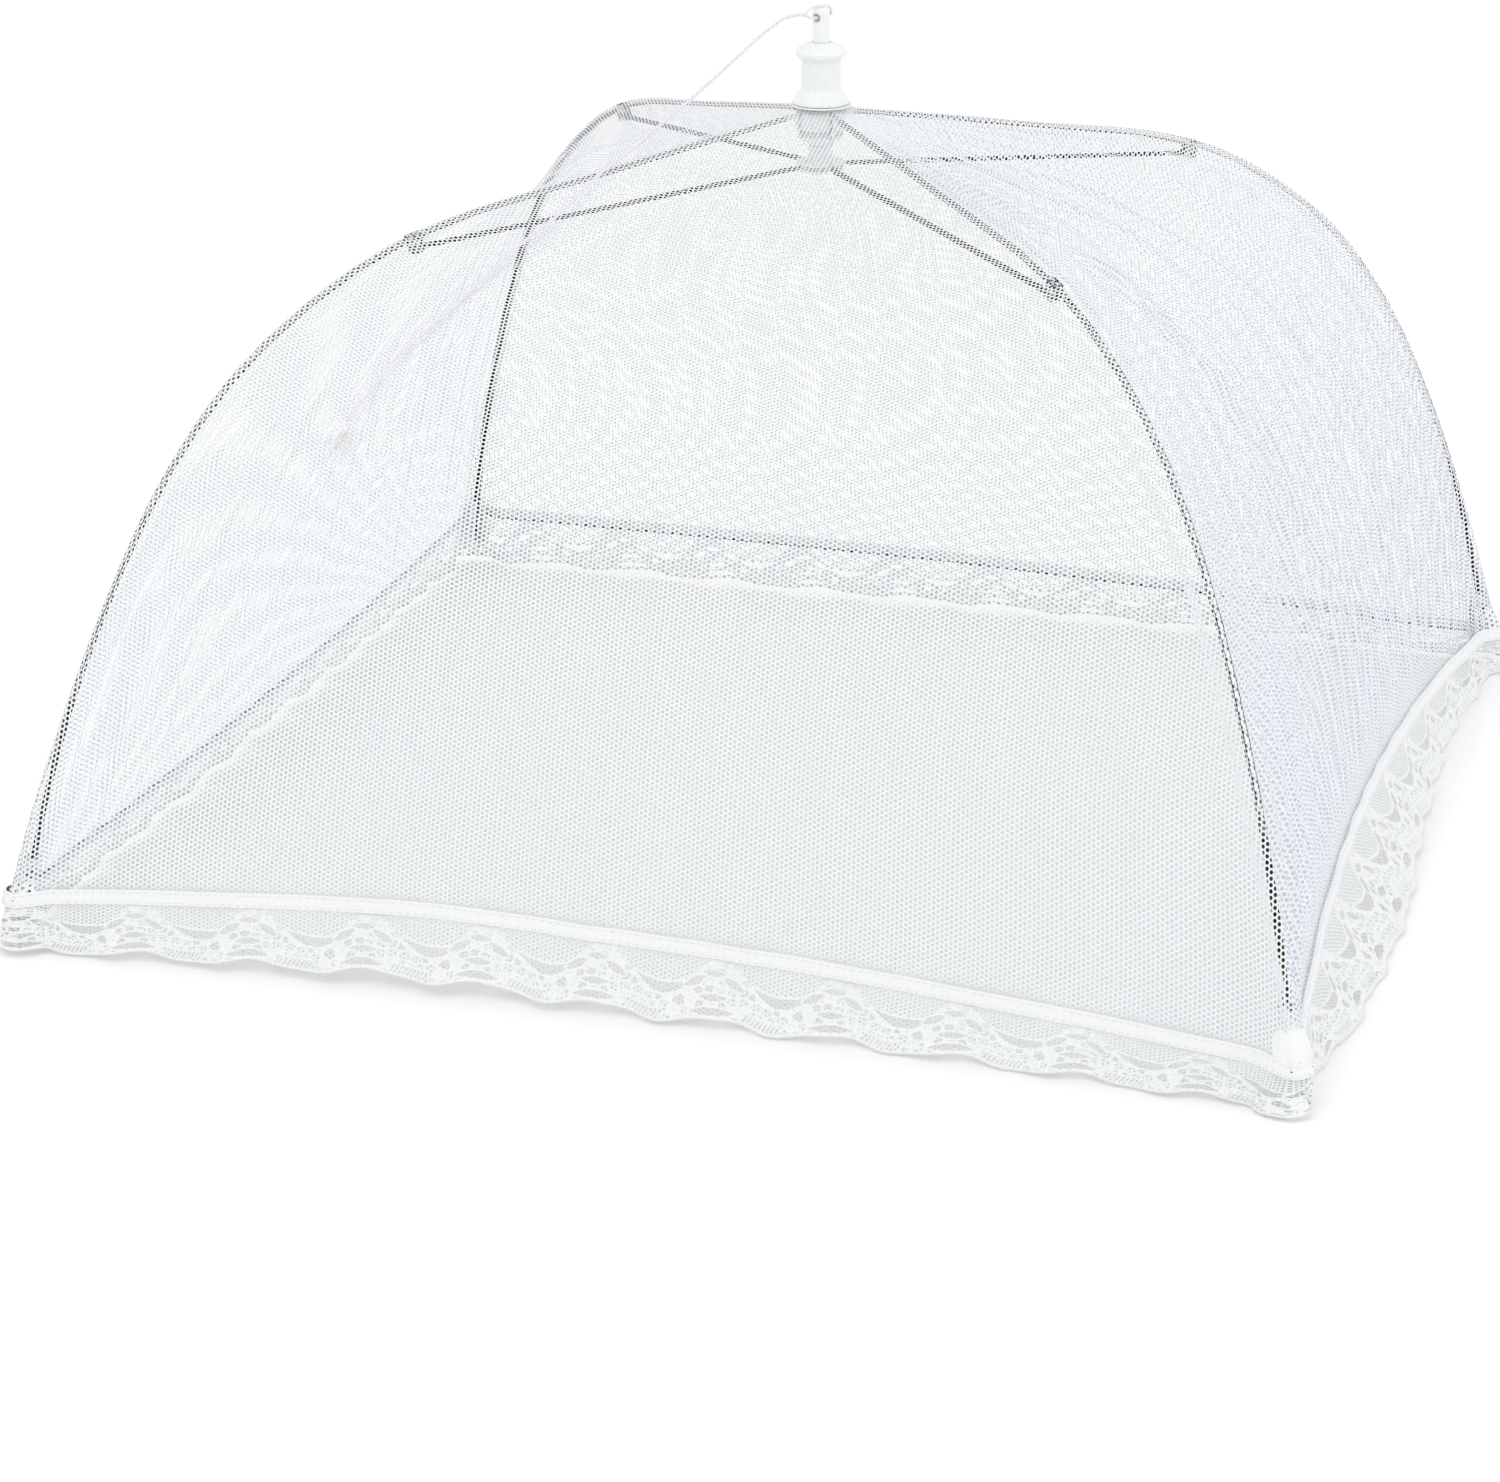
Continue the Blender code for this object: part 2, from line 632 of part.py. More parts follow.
def tube_mesh(points, radius, cyclic=False):
    """A round cord along points."""
    curve = bpy.data.curves.new("tube", "CURVE")
    curve.dimensions = "3D"
    curve.bevel_depth = radius
    curve.bevel_resolution = 2
    curve.use_fill_caps = not cyclic
    spline = curve.splines.new("POLY")
    spline.points.add(len(points) - 1)
    for point, co in zip(spline.points, points):
        point.co = (*co, 1)
    spline.use_cyclic_u = cyclic
    obj = bpy.data.objects.new("work_tube", curve)
    CUTTERS.objects.link(obj)
    return baked(obj)


def build_crown():
    """What stays with the net's centre."""
    add_part("finial_cap", finial_mesh(), WHITE_PLASTIC)
    add_part("crown_hub", crown_mesh(), CLEAR_PLASTIC)
    add_part("crown_wire_ring", ring_mesh(RIB_PIVOT[0], RIB_PIVOT[1]), STEEL)
    add_part("crown_patch", patch_mesh(), CLOTH)


def build_cloth():
    """Net panels, hem tape and lace on each side, and a pocket at each corner."""
    net = sheet_mesh(PANEL_COLUMNS, PANEL_ROWS, net_point, NET_THICK)
    tape = sheet_mesh(16, 1, hem_point, HEM_THICK)
    lace = sheet_mesh(4 * LACE_WAVES, 2, lace_point, LACE_THICK)
    pocket = pocket_mesh()
    for side, turn in SIDES.items():
        matrix = Matrix.Rotation(math.radians(turn), 4, "Z")
        add_part(f"net_panel_{side}", net, NET, matrix=matrix)
        add_part(f"hem_tape_{side}", tape, CLOTH, matrix=matrix)
        add_part(f"lace_frill_{side}", lace, LACE, matrix=matrix)
    for corner, turn in CORNERS.items():
        matrix = Matrix.Rotation(math.radians(turn), 4, "Z") @ Matrix.Translation((RIB_LINE[-1][0], 0, 0))
        add_part(f"corner_pocket_{corner}", pocket, CLOTH, matrix=matrix)


def build_frame():
    """A rib with its bracket, rivet and eyelet, and a strut, at each corner."""
    rib, strut = rib_mesh(), strut_mesh()
    bracket, rivet, eyelet = bracket_mesh(), rivet_mesh(), eyelet_mesh()
    for corner, turn in CORNERS.items():
        a = math.radians(turn)
        place = (RIB_PIVOT[0] * math.cos(a), RIB_PIVOT[0] * math.sin(a), RIB_PIVOT[1])
        hinge = add_empty(f"rib_axis_{corner}", place, turn)
        add_part(f"rib_{corner}", rib, STEEL, hinge)
        add_part(f"bracket_{corner}", bracket, STEEL, hinge)
        add_part(f"rivet_{corner}", rivet, BRASS, hinge)
        add_part(f"tip_eyelet_{corner}", eyelet, STEEL, hinge)
        joint = (STRUT_PIVOT[0] - RIB_PIVOT[0], 0, STRUT_PIVOT[1] - RIB_PIVOT[1])
        add_part(f"strut_{corner}", strut, STEEL, add_empty(f"strut_axis_{corner}", joint, parent=hinge))


def build_runner():
    """The runner, its wire and the plunger."""
    slide = add_empty("runner_axis", (0, 0, 0))
    add_part("runner_spool", runner_mesh(), CLEAR_PLASTIC, slide)
    add_part("runner_wire_ring", ring_mesh(RUNNER_RING_R, RUNNER_PIVOT[1]), STEEL, slide)
    add_part("plunger_post", post_mesh(), WHITE_PLASTIC, slide)
    return slide


def knot_mesh():
    """The lump of the knot that ends the cord."""
    bm = bmesh.new()
    bmesh.ops.create_icosphere(bm, subdivisions=2, radius=KNOT_R, matrix=Matrix.Translation(KNOT))
    mesh = bpy.data.meshes.new("knot")
    bm.to_mesh(mesh)
    bm.free()
    return mesh


def build_cord(slide):
    """The pull cord, its loop through the plunger's eye and the knot at its end."""
    loop = tube_mesh(smooth_line(LOOP_ROUTE, LOOP_STEPS, True), STRAND_R, True)
    add_part("cord_loop", loop, CLOTH, slide)
    add_part("pull_cord", tube_mesh(smooth_line(CORD_ROUTE, CORD_STEPS), CORD_R), CLOTH)
    add_part("cord_end_knot", knot_mesh(), CLOTH)


clear_scene()
PARTS = new_collection("mesh_food_cover")
CUTTERS = new_collection("cutters")
WHITE_PLASTIC = new_material("white_plastic", (0.90, 0.91, 0.91), 0.35)
CLEAR_PLASTIC = new_material("translucent_plastic", (0.82, 0.85, 0.85), 0.30)
STEEL = new_material("rib_steel", (0.45, 0.46, 0.46), 0.35, 1.0)
BRASS = new_material("brass", (0.60, 0.48, 0.22), 0.35, 1.0)
CLOTH = new_material("white_tape", (0.92, 0.92, 0.94), 0.85)
NET = new_material("white_net", (0.88, 0.88, 0.93), 0.80)
LACE = new_material("white_lace", (0.93, 0.93, 0.94), 0.85)

build_crown()
build_cloth()
build_frame()
build_cord(build_runner())
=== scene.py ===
import math
import random

import bpy
import numpy as np
from mathutils import Matrix, Vector


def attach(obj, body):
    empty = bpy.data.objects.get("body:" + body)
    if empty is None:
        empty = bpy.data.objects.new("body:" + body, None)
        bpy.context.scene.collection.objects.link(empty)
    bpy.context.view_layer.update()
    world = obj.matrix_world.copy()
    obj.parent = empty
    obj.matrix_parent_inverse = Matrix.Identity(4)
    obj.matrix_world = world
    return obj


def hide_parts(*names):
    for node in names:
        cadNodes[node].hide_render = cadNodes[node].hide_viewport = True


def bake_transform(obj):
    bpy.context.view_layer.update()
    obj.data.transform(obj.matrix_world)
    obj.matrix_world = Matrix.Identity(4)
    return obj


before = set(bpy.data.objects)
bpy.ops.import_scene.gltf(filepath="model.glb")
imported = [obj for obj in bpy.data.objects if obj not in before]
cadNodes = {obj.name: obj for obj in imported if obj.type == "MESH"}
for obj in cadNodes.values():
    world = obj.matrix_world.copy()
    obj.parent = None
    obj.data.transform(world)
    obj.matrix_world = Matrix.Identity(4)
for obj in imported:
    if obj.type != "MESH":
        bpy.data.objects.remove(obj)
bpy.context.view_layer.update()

# corners and sides of the square plan, in degrees round the crown
corners = {"front_left": 225, "front_right": 315, "back_right": 45, "back_left": 135}
sides = {"front": 0, "right": 90, "back": 180, "left": 270}
# the ribs' centreline from crown to tip, as distance from the axis and height
ribLine = [
    (0.0095, 0.2543), (0.080, 0.2423), (0.156, 0.2274), (0.2096, 0.1975),
    (0.245, 0.159), (0.272, 0.1105), (0.290, 0.066), (0.304, 0.0175),
]


# small helpers for the operators

def clearSelection():
    if bpy.context.mode != "OBJECT":
        bpy.ops.object.mode_set(mode="OBJECT")
    bpy.ops.object.select_all(action="DESELECT")


def pick(piece):
    clearSelection()
    piece.select_set(True)
    bpy.context.view_layer.objects.active = piece


def addObject(name, data):
    piece = bpy.data.objects.new(name, data)
    bpy.context.scene.collection.objects.link(piece)
    return piece


def named(piece, name, material):
    piece.name = name
    piece.data.name = name
    piece.data.materials.clear()
    piece.data.materials.append(material)
    return piece


def smoothLine(control, steps, closed=False):
    # Catmull-Rom through the control points
    first = [2 * a - b for a, b in zip(control[0], control[1])]
    last = [2 * a - b for a, b in zip(control[-1], control[-2])]
    points = [control[-1], *control, control[0], control[1]] if closed else [first, *control, last]
    line = []
    for i in range(1, len(points) - 2):
        p0, p1, p2, p3 = points[i - 1:i + 3]
        for k in range(steps):
            u = k / steps
            line.append(tuple(
                0.5 * (2 * b + (c - a) * u + (2 * a - 5 * b + 4 * c - d) * u ** 2
                       + (3 * b - a - 3 * c + d) * u ** 3)
                for a, b, c, d in zip(p0, p1, p2, p3)
            ))
    return line if closed else line + [tuple(control[-1])]


def lengthAlong(points):
    return np.concatenate([[0.0], np.cumsum(np.linalg.norm(np.diff(points, axis=0), axis=1))])


def evenLine(points, step):
    # the same line with its points an even step apart
    points = np.array(points, float)
    along = lengthAlong(points)
    count = max(2, int(round(along[-1] / step)) + 1)
    want = np.linspace(0.0, along[-1], count)
    return np.stack([np.interp(want, along, points[:, i]) for i in range(points.shape[1])], 1), want


def smoothShare(value, low, high):
    u = np.clip((value - low) / (high - low), 0.0, 1.0)
    return u * u * (3 - 2 * u)


def tableAt(table, where):
    places, amounts = zip(*table)
    return np.interp(where, places, amounts)


def turnedPoints(points, degrees):
    a = math.radians(degrees)
    x, y, z = points.T
    return np.stack([x * math.cos(a) - y * math.sin(a), x * math.sin(a) + y * math.cos(a), z], 1)


def gridSheet(name, columns, rows, place, material, turn=0.0, extra=None):
    # a grid bent by place(a, b), which gives each vertex its point and its place on the flat cloth
    clearSelection()
    bpy.ops.mesh.primitive_grid_add(x_subdivisions=columns, y_subdivisions=rows, size=1.0, location=(0, 0, 0))
    piece = bpy.context.object
    mesh = piece.data
    co = np.empty(len(mesh.vertices) * 3)
    mesh.vertices.foreach_get("co", co)
    co = co.reshape(-1, 3)
    points, flat, values = place(co[:, 0] + 0.5, 0.5 - co[:, 1])
    mesh.vertices.foreach_set("co", turnedPoints(points, turn).ravel())
    loopVertex = np.empty(len(mesh.loops), int)
    mesh.loops.foreach_get("vertex_index", loopVertex)
    for layer in list(mesh.uv_layers):
        mesh.uv_layers.remove(layer)
    layer = mesh.uv_layers.new(name="clothMap")
    layer.data.foreach_set("uv", flat[loopVertex].ravel())
    if extra:
        attribute = mesh.attributes.new(extra, "FLOAT", "POINT")
        attribute.data.foreach_set("value", values.astype(np.float32))
    mesh.update()
    mesh.shade_smooth()
    return named(piece, name, material)


def tubePiece(name, lines, radius, material, resolution=2, closed=False, radii=None):
    # round threads along lines, as one mesh
    curve = bpy.data.curves.new(name, "CURVE")
    curve.dimensions = "3D"
    curve.bevel_depth = radius
    curve.bevel_resolution = resolution
    curve.use_fill_caps = not closed
    for line in lines:
        spline = curve.splines.new("POLY")
        spline.points.add(len(line) - 1)
        spline.points.foreach_set("co", np.column_stack([line, np.ones(len(line))]).ravel())
        spline.use_cyclic_u = closed
        if radii is not None:
            spline.points.foreach_set("radius", radii)
    pick(addObject(name, curve))
    bpy.ops.object.convert(target="MESH")
    piece = bpy.context.object
    bpy.ops.object.mode_set(mode="EDIT")
    bpy.ops.mesh.select_all(action="SELECT")
    bpy.ops.mesh.remove_doubles(threshold=0.000002)
    bpy.ops.mesh.normals_make_consistent(inside=False)
    bpy.ops.object.mode_set(mode="OBJECT")
    piece.data.shade_smooth()
    return named(piece, name, material)


# camera, at the place it was solved for

cameraView = {"place": (0.4037, -1.4029, 0.5640), "down": 20.415, "turn": 17.02, "lens": 101.7}

cameraData = bpy.data.cameras.new("camera")
cameraData.lens = cameraView["lens"]
cameraData.sensor_width = 36.0
cameraData.clip_start = 0.05
camera = addObject("camera", cameraData)
camera.location = cameraView["place"]
camera.rotation_euler = (math.radians(90 - cameraView["down"]), 0.0, math.radians(cameraView["turn"]))
scene = bpy.context.scene
scene.camera = camera
scene.view_settings.view_transform = "Standard"
scene.cycles.transparent_max_bounces = 32
print("camera placed")


# node helpers for the materials

def feed(tree, socket, value):
    if isinstance(value, bpy.types.NodeSocket):
        tree.links.new(value, socket)
    else:
        socket.default_value = value


def feedAll(tree, node, values):
    for key, value in values.items():
        feed(tree, node.inputs[key], value)


def newMaterial(name, color, roughness, metallic=0.0):
    material = bpy.data.materials.new(name)
    material.use_nodes = True
    tree = material.node_tree
    shader = tree.nodes["Principled BSDF"]
    feedAll(tree, shader, {"Base Color": (*color, 1.0), "Roughness": roughness, "Metallic": metallic})
    return material, tree, shader


def mathNode(tree, operation, *values):
    node = tree.nodes.new("ShaderNodeMath")
    node.operation = operation
    for socket, value in zip(node.inputs, values):
        feed(tree, socket, value)
    return node.outputs[0]


def vectorNode(tree, operation, *values):
    node = tree.nodes.new("ShaderNodeVectorMath")
    node.operation = operation
    for socket, value in zip(node.inputs, values):
        feed(tree, socket, value)
    return node.outputs["Value" if operation == "DOT_PRODUCT" else "Vector"]


def mapRange(tree, value, fromLow, fromHigh, toLow=0.0, toHigh=1.0, smooth=True):
    node = tree.nodes.new("ShaderNodeMapRange")
    node.interpolation_type = "SMOOTHSTEP" if smooth else "LINEAR"
    feedAll(tree, node, {"Value": value, "From Min": fromLow, "From Max": fromHigh, "To Min": toLow, "To Max": toHigh})
    return node.outputs["Result"]


def mixColor(tree, factor, a, b):
    node = tree.nodes.new("ShaderNodeMix")
    node.data_type = "RGBA"
    feed(tree, node.inputs[0], factor)
    for i, color in ((6, a), (7, b)):
        feed(tree, node.inputs[i], color if isinstance(color, bpy.types.NodeSocket) else (*color, 1.0))
    return node.outputs[2]


def noiseNode(tree, vector, scale, detail=2.0):
    node = tree.nodes.new("ShaderNodeTexNoise")
    feedAll(tree, node, {"Vector": vector, "Scale": scale, "Detail": detail})
    return node.outputs["Fac"]


def objectCoords(tree):
    return tree.nodes.new("ShaderNodeTexCoord").outputs["Object"]


def distancesAlong(tree, coords, *axes):
    return [mathNode(tree, "ABSOLUTE", vectorNode(tree, "DOT_PRODUCT", coords, axis)) for axis in axes]


def clothCoords(tree):
    node = tree.nodes.new("ShaderNodeUVMap")
    node.uv_map = "clothMap"
    return node.outputs["UV"]


def seenDirectly(tree):
    # 1 for the camera's rays and for mirrored or refracted ones, 0 for the rest
    paths = tree.nodes.new("ShaderNodeLightPath")
    seen = mathNode(tree, "MAXIMUM", paths.outputs["Is Camera Ray"], paths.outputs["Is Glossy Ray"])
    return mathNode(tree, "MAXIMUM", seen, paths.outputs["Is Transmission Ray"])


def addBump(tree, shader, height, distance, strength=1.0):
    node = tree.nodes.new("ShaderNodeBump")
    feedAll(tree, node, {"Strength": strength, "Distance": distance, "Height": height})
    tree.links.new(node.outputs["Normal"], shader.inputs["Normal"])


def hexThreads(tree, vector, pitch):
    # 0 in the middle of each hole of a hexagonal net and 0.5 along the middle of its threads,
    # with the holes in upright columns
    half = math.sqrt(3) / 2
    scaled = vectorNode(tree, "MULTIPLY", vector, [1 / pitch] * 3)
    found = []
    for shift in ((0.0, 0.0, 0.0), (half, 0.5, 0.0)):
        moved = vectorNode(tree, "ADD", scaled, shift)
        wrapped = vectorNode(tree, "WRAP", moved, (half, 0.5, 0.5), (-half, -0.5, -0.5))
        outward = vectorNode(tree, "ABSOLUTE", wrapped)
        slanted = vectorNode(tree, "DOT_PRODUCT", outward, (half, 0.5, 0.0))
        straight = vectorNode(tree, "DOT_PRODUCT", outward, (0.0, 1.0, 0.0))
        found.append(mathNode(tree, "MAXIMUM", slanted, straight))
    return mathNode(tree, "MINIMUM", *found)


# finishes

netFinish = {"color": (0.945, 0.96, 0.965), "shade": (0.885, 0.91, 0.925), "pitch": 0.00170, "hole": 0.330,
             "seamHole": 0.20, "pocketHole": 0.24, "shadeTint": (0.985, 0.985, 1.05), "shadeTintFrom": 0.19, "shadeTintTo": 0.09}


def netMaterial(name, hole, shadeTint=0.0):
    color, shade = netFinish["color"], netFinish["shade"]
    material, tree, shader = newMaterial(name, color, 0.75)
    threads = hexThreads(tree, clothCoords(tree), netFinish["pitch"])
    alpha = mapRange(tree, threads, hole - 0.035, hole + 0.035)
    patches = noiseNode(tree, objectCoords(tree), scale=45.0, detail=3.0)
    # painted shade on the threads towards the holes, paler along their crowns
    crown = mapRange(tree, threads, hole, 0.5)
    shaded = mixColor(tree, crown, shade, mixColor(tree, patches, color, shade))
    if shadeTint:
        # painted bluish shade on the side panels, low down and in broad patches
        coords = objectCoords(tree)
        height = vectorNode(tree, "DOT_PRODUCT", coords, (0.0, 0.0, 1.0))
        low = mapRange(tree, height, netFinish["shadeTintTo"], netFinish["shadeTintFrom"], 1.0, 0.25)
        broad = mapRange(tree, noiseNode(tree, coords, scale=14.0, detail=1.0), 0.35, 0.65, 0.4, 1.0)
        tinge = mathNode(tree, "MULTIPLY", mathNode(tree, "MULTIPLY", low, broad), shadeTint)
        tinted = vectorNode(tree, "MULTIPLY", shaded, netFinish["shadeTint"])
        shaded = mixColor(tree, tinge, shaded, tinted)
    feedAll(tree, shader, {"Alpha": alpha, "Base Color": shaded, "Sheen Weight": 0.15})
    addBump(tree, shader, threads, distance=0.00015, strength=0.4)
    return material


whiteNet = netMaterial("whiteNet", netFinish["hole"])
shadeTintNet = netMaterial("shadeTintNet", netFinish["hole"], shadeTint=1.0)
seamNet = netMaterial("seamNet", netFinish["seamHole"])
pocketNet = netMaterial("pocketNet", netFinish["pocketHole"])

laceFinish = {"color": (0.97, 0.975, 0.98), "shade": (0.86, 0.885, 0.90), "pitch": 0.00170}


def laceMaterial():
    # the attribute weave says how close the threads are: 0 sheer, 1 solid
    material, tree, shader = newMaterial("whiteLace", laceFinish["color"], 0.8)
    attribute = tree.nodes.new("ShaderNodeAttribute")
    attribute.attribute_name = "weave"
    weave = attribute.outputs["Fac"]
    threads = hexThreads(tree, clothCoords(tree), laceFinish["pitch"])
    hole = mapRange(tree, weave, 0.0, 1.0, 0.44, -0.10, smooth=False)
    over = mathNode(tree, "SUBTRACT", threads, hole)
    yarn = noiseNode(tree, objectCoords(tree), scale=2500.0)
    body = mixColor(tree, yarn, laceFinish["shade"], laceFinish["color"])
    # painted shade on the sheer parts, paler on the solid work
    body = mixColor(tree, weave, laceFinish["shade"], body)
    feedAll(tree, shader, {"Alpha": mapRange(tree, over, -0.05, 0.05), "Base Color": body, "Sheen Weight": 0.15})
    relief = mathNode(tree, "MULTIPLY_ADD", yarn, 0.5, weave)
    addBump(tree, shader, relief, distance=0.0002, strength=0.6)
    return material


whiteLace = laceMaterial()


def wovenMaterial(name, color, shade, pitch):
    # plain weave seen as a fine check of painted shade between the crossing threads, along the tape
    material, tree, shader = newMaterial(name, color, 0.8)
    coords = clothCoords(tree)
    wave = []
    for axis in ((1.0, 0.0, 0.0), (0.0, 1.0, 0.0)):
        along = vectorNode(tree, "DOT_PRODUCT", coords, axis)
        wave.append(mathNode(tree, "SINE", mathNode(tree, "MULTIPLY", along, 2 * math.pi / pitch)))
    check = mapRange(tree, mathNode(tree, "MULTIPLY", *wave), -1.0, 1.0)
    patches = noiseNode(tree, objectCoords(tree), scale=160.0, detail=3.0)
    mottled = mixColor(tree, patches, color, shade)
    feedAll(tree, shader, {"Base Color": mixColor(tree, check, shade, mottled), "Sheen Weight": 0.2})
    addBump(tree, shader, check, distance=0.0001, strength=0.5)
    return material


whiteTape = wovenMaterial("whiteTape", (0.96, 0.97, 0.965), (0.92, 0.935, 0.94), 0.0009)


def yarnMaterial(name, color, shade):
    material, tree, shader = newMaterial(name, color, 0.85)
    fibres = noiseNode(tree, objectCoords(tree), scale=1800.0, detail=4.0)
    body = mixColor(tree, mapRange(tree, fibres, 0.3, 0.7), shade, color)
    feedAll(tree, shader, {"Base Color": body, "Sheen Weight": 0.3})
    addBump(tree, shader, fibres, distance=0.00004, strength=0.3)
    return material


cottonYarn = yarnMaterial("cottonYarn", (0.91, 0.90, 0.95), (0.80, 0.79, 0.87))
# a paler copy of the cord's yarn: painted light on the knot and the frayed end
litCordYarn = yarnMaterial("litCordYarn", (0.97, 0.97, 0.98), (0.93, 0.93, 0.95))
seamThread = yarnMaterial("seamThread", (0.92, 0.92, 0.94), (0.80, 0.81, 0.85))


def plasticMaterial(name, color, shade, roughness, milky):
    material, tree, shader = newMaterial(name, color, roughness)
    coords = objectCoords(tree)
    cloudy = noiseNode(tree, coords, scale=220.0, detail=3.0)
    scuffs = noiseNode(tree, coords, scale=900.0)
    feedAll(tree, shader, {
        "Base Color": mixColor(tree, cloudy, color, shade), "IOR": 1.49,
        "Roughness": mapRange(tree, scuffs, 0.3, 0.7, roughness - 0.06, roughness + 0.08),
        "Subsurface Weight": milky, "Subsurface Radius": (1.0, 1.0, 0.9), "Subsurface Scale": 0.002,
    })
    addBump(tree, shader, cloudy, distance=0.0002, strength=0.15)
    return material


whitePlastic = plasticMaterial("whitePlastic", (0.93, 0.95, 0.95), (0.89, 0.915, 0.915), 0.32, 0.25)
milkyPlastic = plasticMaterial("milkyPlastic", (0.86, 0.89, 0.885), (0.79, 0.83, 0.83), 0.30, 0.5)


steel = {
    # dark is the colour of the painted shade and dark reflections on the ribs and struts
    "pale": (0.86, 0.88, 0.88), "dark": (0.010, 0.012, 0.013), "strutFrom": (0.0075, 0.2358),
    "strutTo": (0.1553, 0.2240), "lowFrom": 0.096, "lowTo": 0.080, "topFrom": 0.20, "topTo": 0.23,
    "rootFrom": 0.011, "rootTo": 0.016, "edgeFade": 0.00012, "lipFade": 0.00007,
    # the outside of the back lies above backFrom, its hollow below hollowTo and inside hollowWide
    "backFrom": 0.00032, "backTo": 0.00042, "hollowTo": 0.00036, "hollowWide": 0.00064, "wallWide": 0.00068,
    # heights and distances are looked up as shares of these
    "tall": 0.26, "reach": 0.35,
}


def rampTable(tree, value, table):
    # two numbers for each value, read off a table of (value, first, second), all from 0 to 1
    ramp = tree.nodes.new("ShaderNodeValToRGB")
    feed(tree, ramp.inputs["Fac"], value)
    elements = ramp.color_ramp.elements
    elements.remove(elements[1])
    for i, (place, first, second) in enumerate(table):
        element = elements.new(place) if i else elements[0]
        element.position = place
        element.color = (first, second, 0.0, 1.0)
    split = tree.nodes.new("ShaderNodeSeparateColor")
    tree.links.new(ramp.outputs["Color"], split.inputs["Color"])
    return split.outputs[0], split.outputs[1]


def overRib(tree, rho, height):
    # distance outward from the ribs' centreline
    line, _ = evenLine(smoothLine(ribLine, 16), 0.0010)
    step = np.gradient(line, axis=0)
    sine = -step[:, 1] / np.linalg.norm(step, axis=1)
    # a ramp holds 32 colours at most, so they lie closer together where the rib bends more
    bend = np.cumsum(np.sqrt(np.abs(np.gradient(sine)) + 0.0004))
    places = np.searchsorted(bend, np.linspace(bend[0], bend[-1], 31))
    tall, reach = steel["tall"], steel["reach"]
    table = sorted((float(line[i, 1] / tall), float(line[i, 0] / reach), float(sine[i])) for i in places)
    middle, lean = rampTable(tree, mathNode(tree, "DIVIDE", height, tall), table)
    away = mathNode(tree, "SUBTRACT", rho, mathNode(tree, "MULTIPLY", middle, reach))
    return mathNode(tree, "MULTIPLY", away, lean)


def overStrut(tree, rho, height):
    # distance above the struts' centreline
    (r0, z0), (r1, z1) = steel["strutFrom"], steel["strutTo"]
    size = math.hypot(r1 - r0, z1 - z0)
    run, drop = (r1 - r0) / size, (z1 - z0) / size
    above = mathNode(tree, "MULTIPLY_ADD", height, run, -z0 * run)
    return mathNode(tree, "SUBTRACT", above, mathNode(tree, "MULTIPLY_ADD", rho, drop, -r0 * drop))


def channelMaterial(name, over, backHalf, lipTop, lowDark, paleRoot):
    # a rolled channel on a diagonal: pale along the middle of its back, as wide as twice backHalf,
    # painted shade and dark reflection at the edges of its back, in its hollow and below lipTop, and darker towards
    # the bottom by lowDark
    material, tree, shader = newMaterial(name, steel["pale"], 0.38, 1.0)
    coords = objectCoords(tree)
    across = distancesAlong(tree, coords, (0.7071, 0.7071, 0.0), (0.7071, -0.7071, 0.0))
    wide, rho = mathNode(tree, "MINIMUM", *across), mathNode(tree, "MAXIMUM", *across)
    height = vectorNode(tree, "DOT_PRODUCT", coords, (0.0, 0.0, 1.0))
    away = over(tree, rho, height)
    # the pale middle of the back is narrower on the ribs' flat tops
    half = mapRange(tree, height, steel["topFrom"], steel["topTo"], backHalf, 0.4 * backHalf)
    edge = mathNode(
        tree, "MULTIPLY", mapRange(tree, mathNode(tree, "SUBTRACT", wide, half), 0.0, steel["edgeFade"]),
        mapRange(tree, away, steel["backFrom"], steel["backTo"]))
    lip = mapRange(tree, away, lipTop - steel["lipFade"], lipTop + steel["lipFade"], 1.0, 0.0)
    hollow = mathNode(
        tree, "MULTIPLY", mapRange(tree, wide, steel["hollowWide"], steel["wallWide"], 1.0, 0.0),
        mapRange(tree, away, steel["backFrom"], steel["hollowTo"], 1.0, 0.0))
    low = mapRange(tree, height, steel["lowTo"], steel["lowFrom"], lowDark, 0.0)
    darkness = mathNode(tree, "MAXIMUM", edge, lip)
    darkness = mathNode(tree, "MAXIMUM", darkness, mathNode(tree, "MAXIMUM", hollow, low))
    if paleRoot:
        darkness = mathNode(tree, "MULTIPLY", darkness, mapRange(tree, rho, steel["rootFrom"], steel["rootTo"]))
    scuffs = noiseNode(tree, coords, scale=700.0, detail=4.0)
    pale = steel["pale"]
    worn = mixColor(tree, mapRange(tree, scuffs, 0.35, 0.7), pale, tuple(0.7 * c for c in pale))
    # where the shade is painted the steel turns black and not metallic
    feedAll(tree, shader, {
        "Base Color": mixColor(tree, darkness, worn, steel["dark"]), "Specular IOR Level": 0.0,
        "Metallic": mathNode(tree, "SUBTRACT", 1.0, darkness),
        "Roughness": mapRange(tree, scuffs, 0.3, 0.7, 0.30, 0.48),
    })
    addBump(tree, shader, scuffs, distance=0.00005, strength=0.3)
    return material


ribSteel = channelMaterial("ribSteel", overRib, backHalf=0.00050, lipTop=-0.00008, lowDark=0.92, paleRoot=True)
strutSteel = channelMaterial("strutSteel", overStrut, backHalf=-0.0002, lipTop=0.00034, lowDark=0.0, paleRoot=False)


def metalMaterial(name, color, worn, roughness):
    material, tree, shader = newMaterial(name, color, roughness, 1.0)
    spots = noiseNode(tree, objectCoords(tree), scale=700.0, detail=3.0)
    feedAll(tree, shader, {
        "Base Color": mixColor(tree, mapRange(tree, spots, 0.44, 0.56), color, worn),
        "Roughness": mapRange(tree, spots, 0.3, 0.7, roughness, roughness + 0.15),
    })
    addBump(tree, shader, spots, distance=0.00005, strength=0.3)
    return material


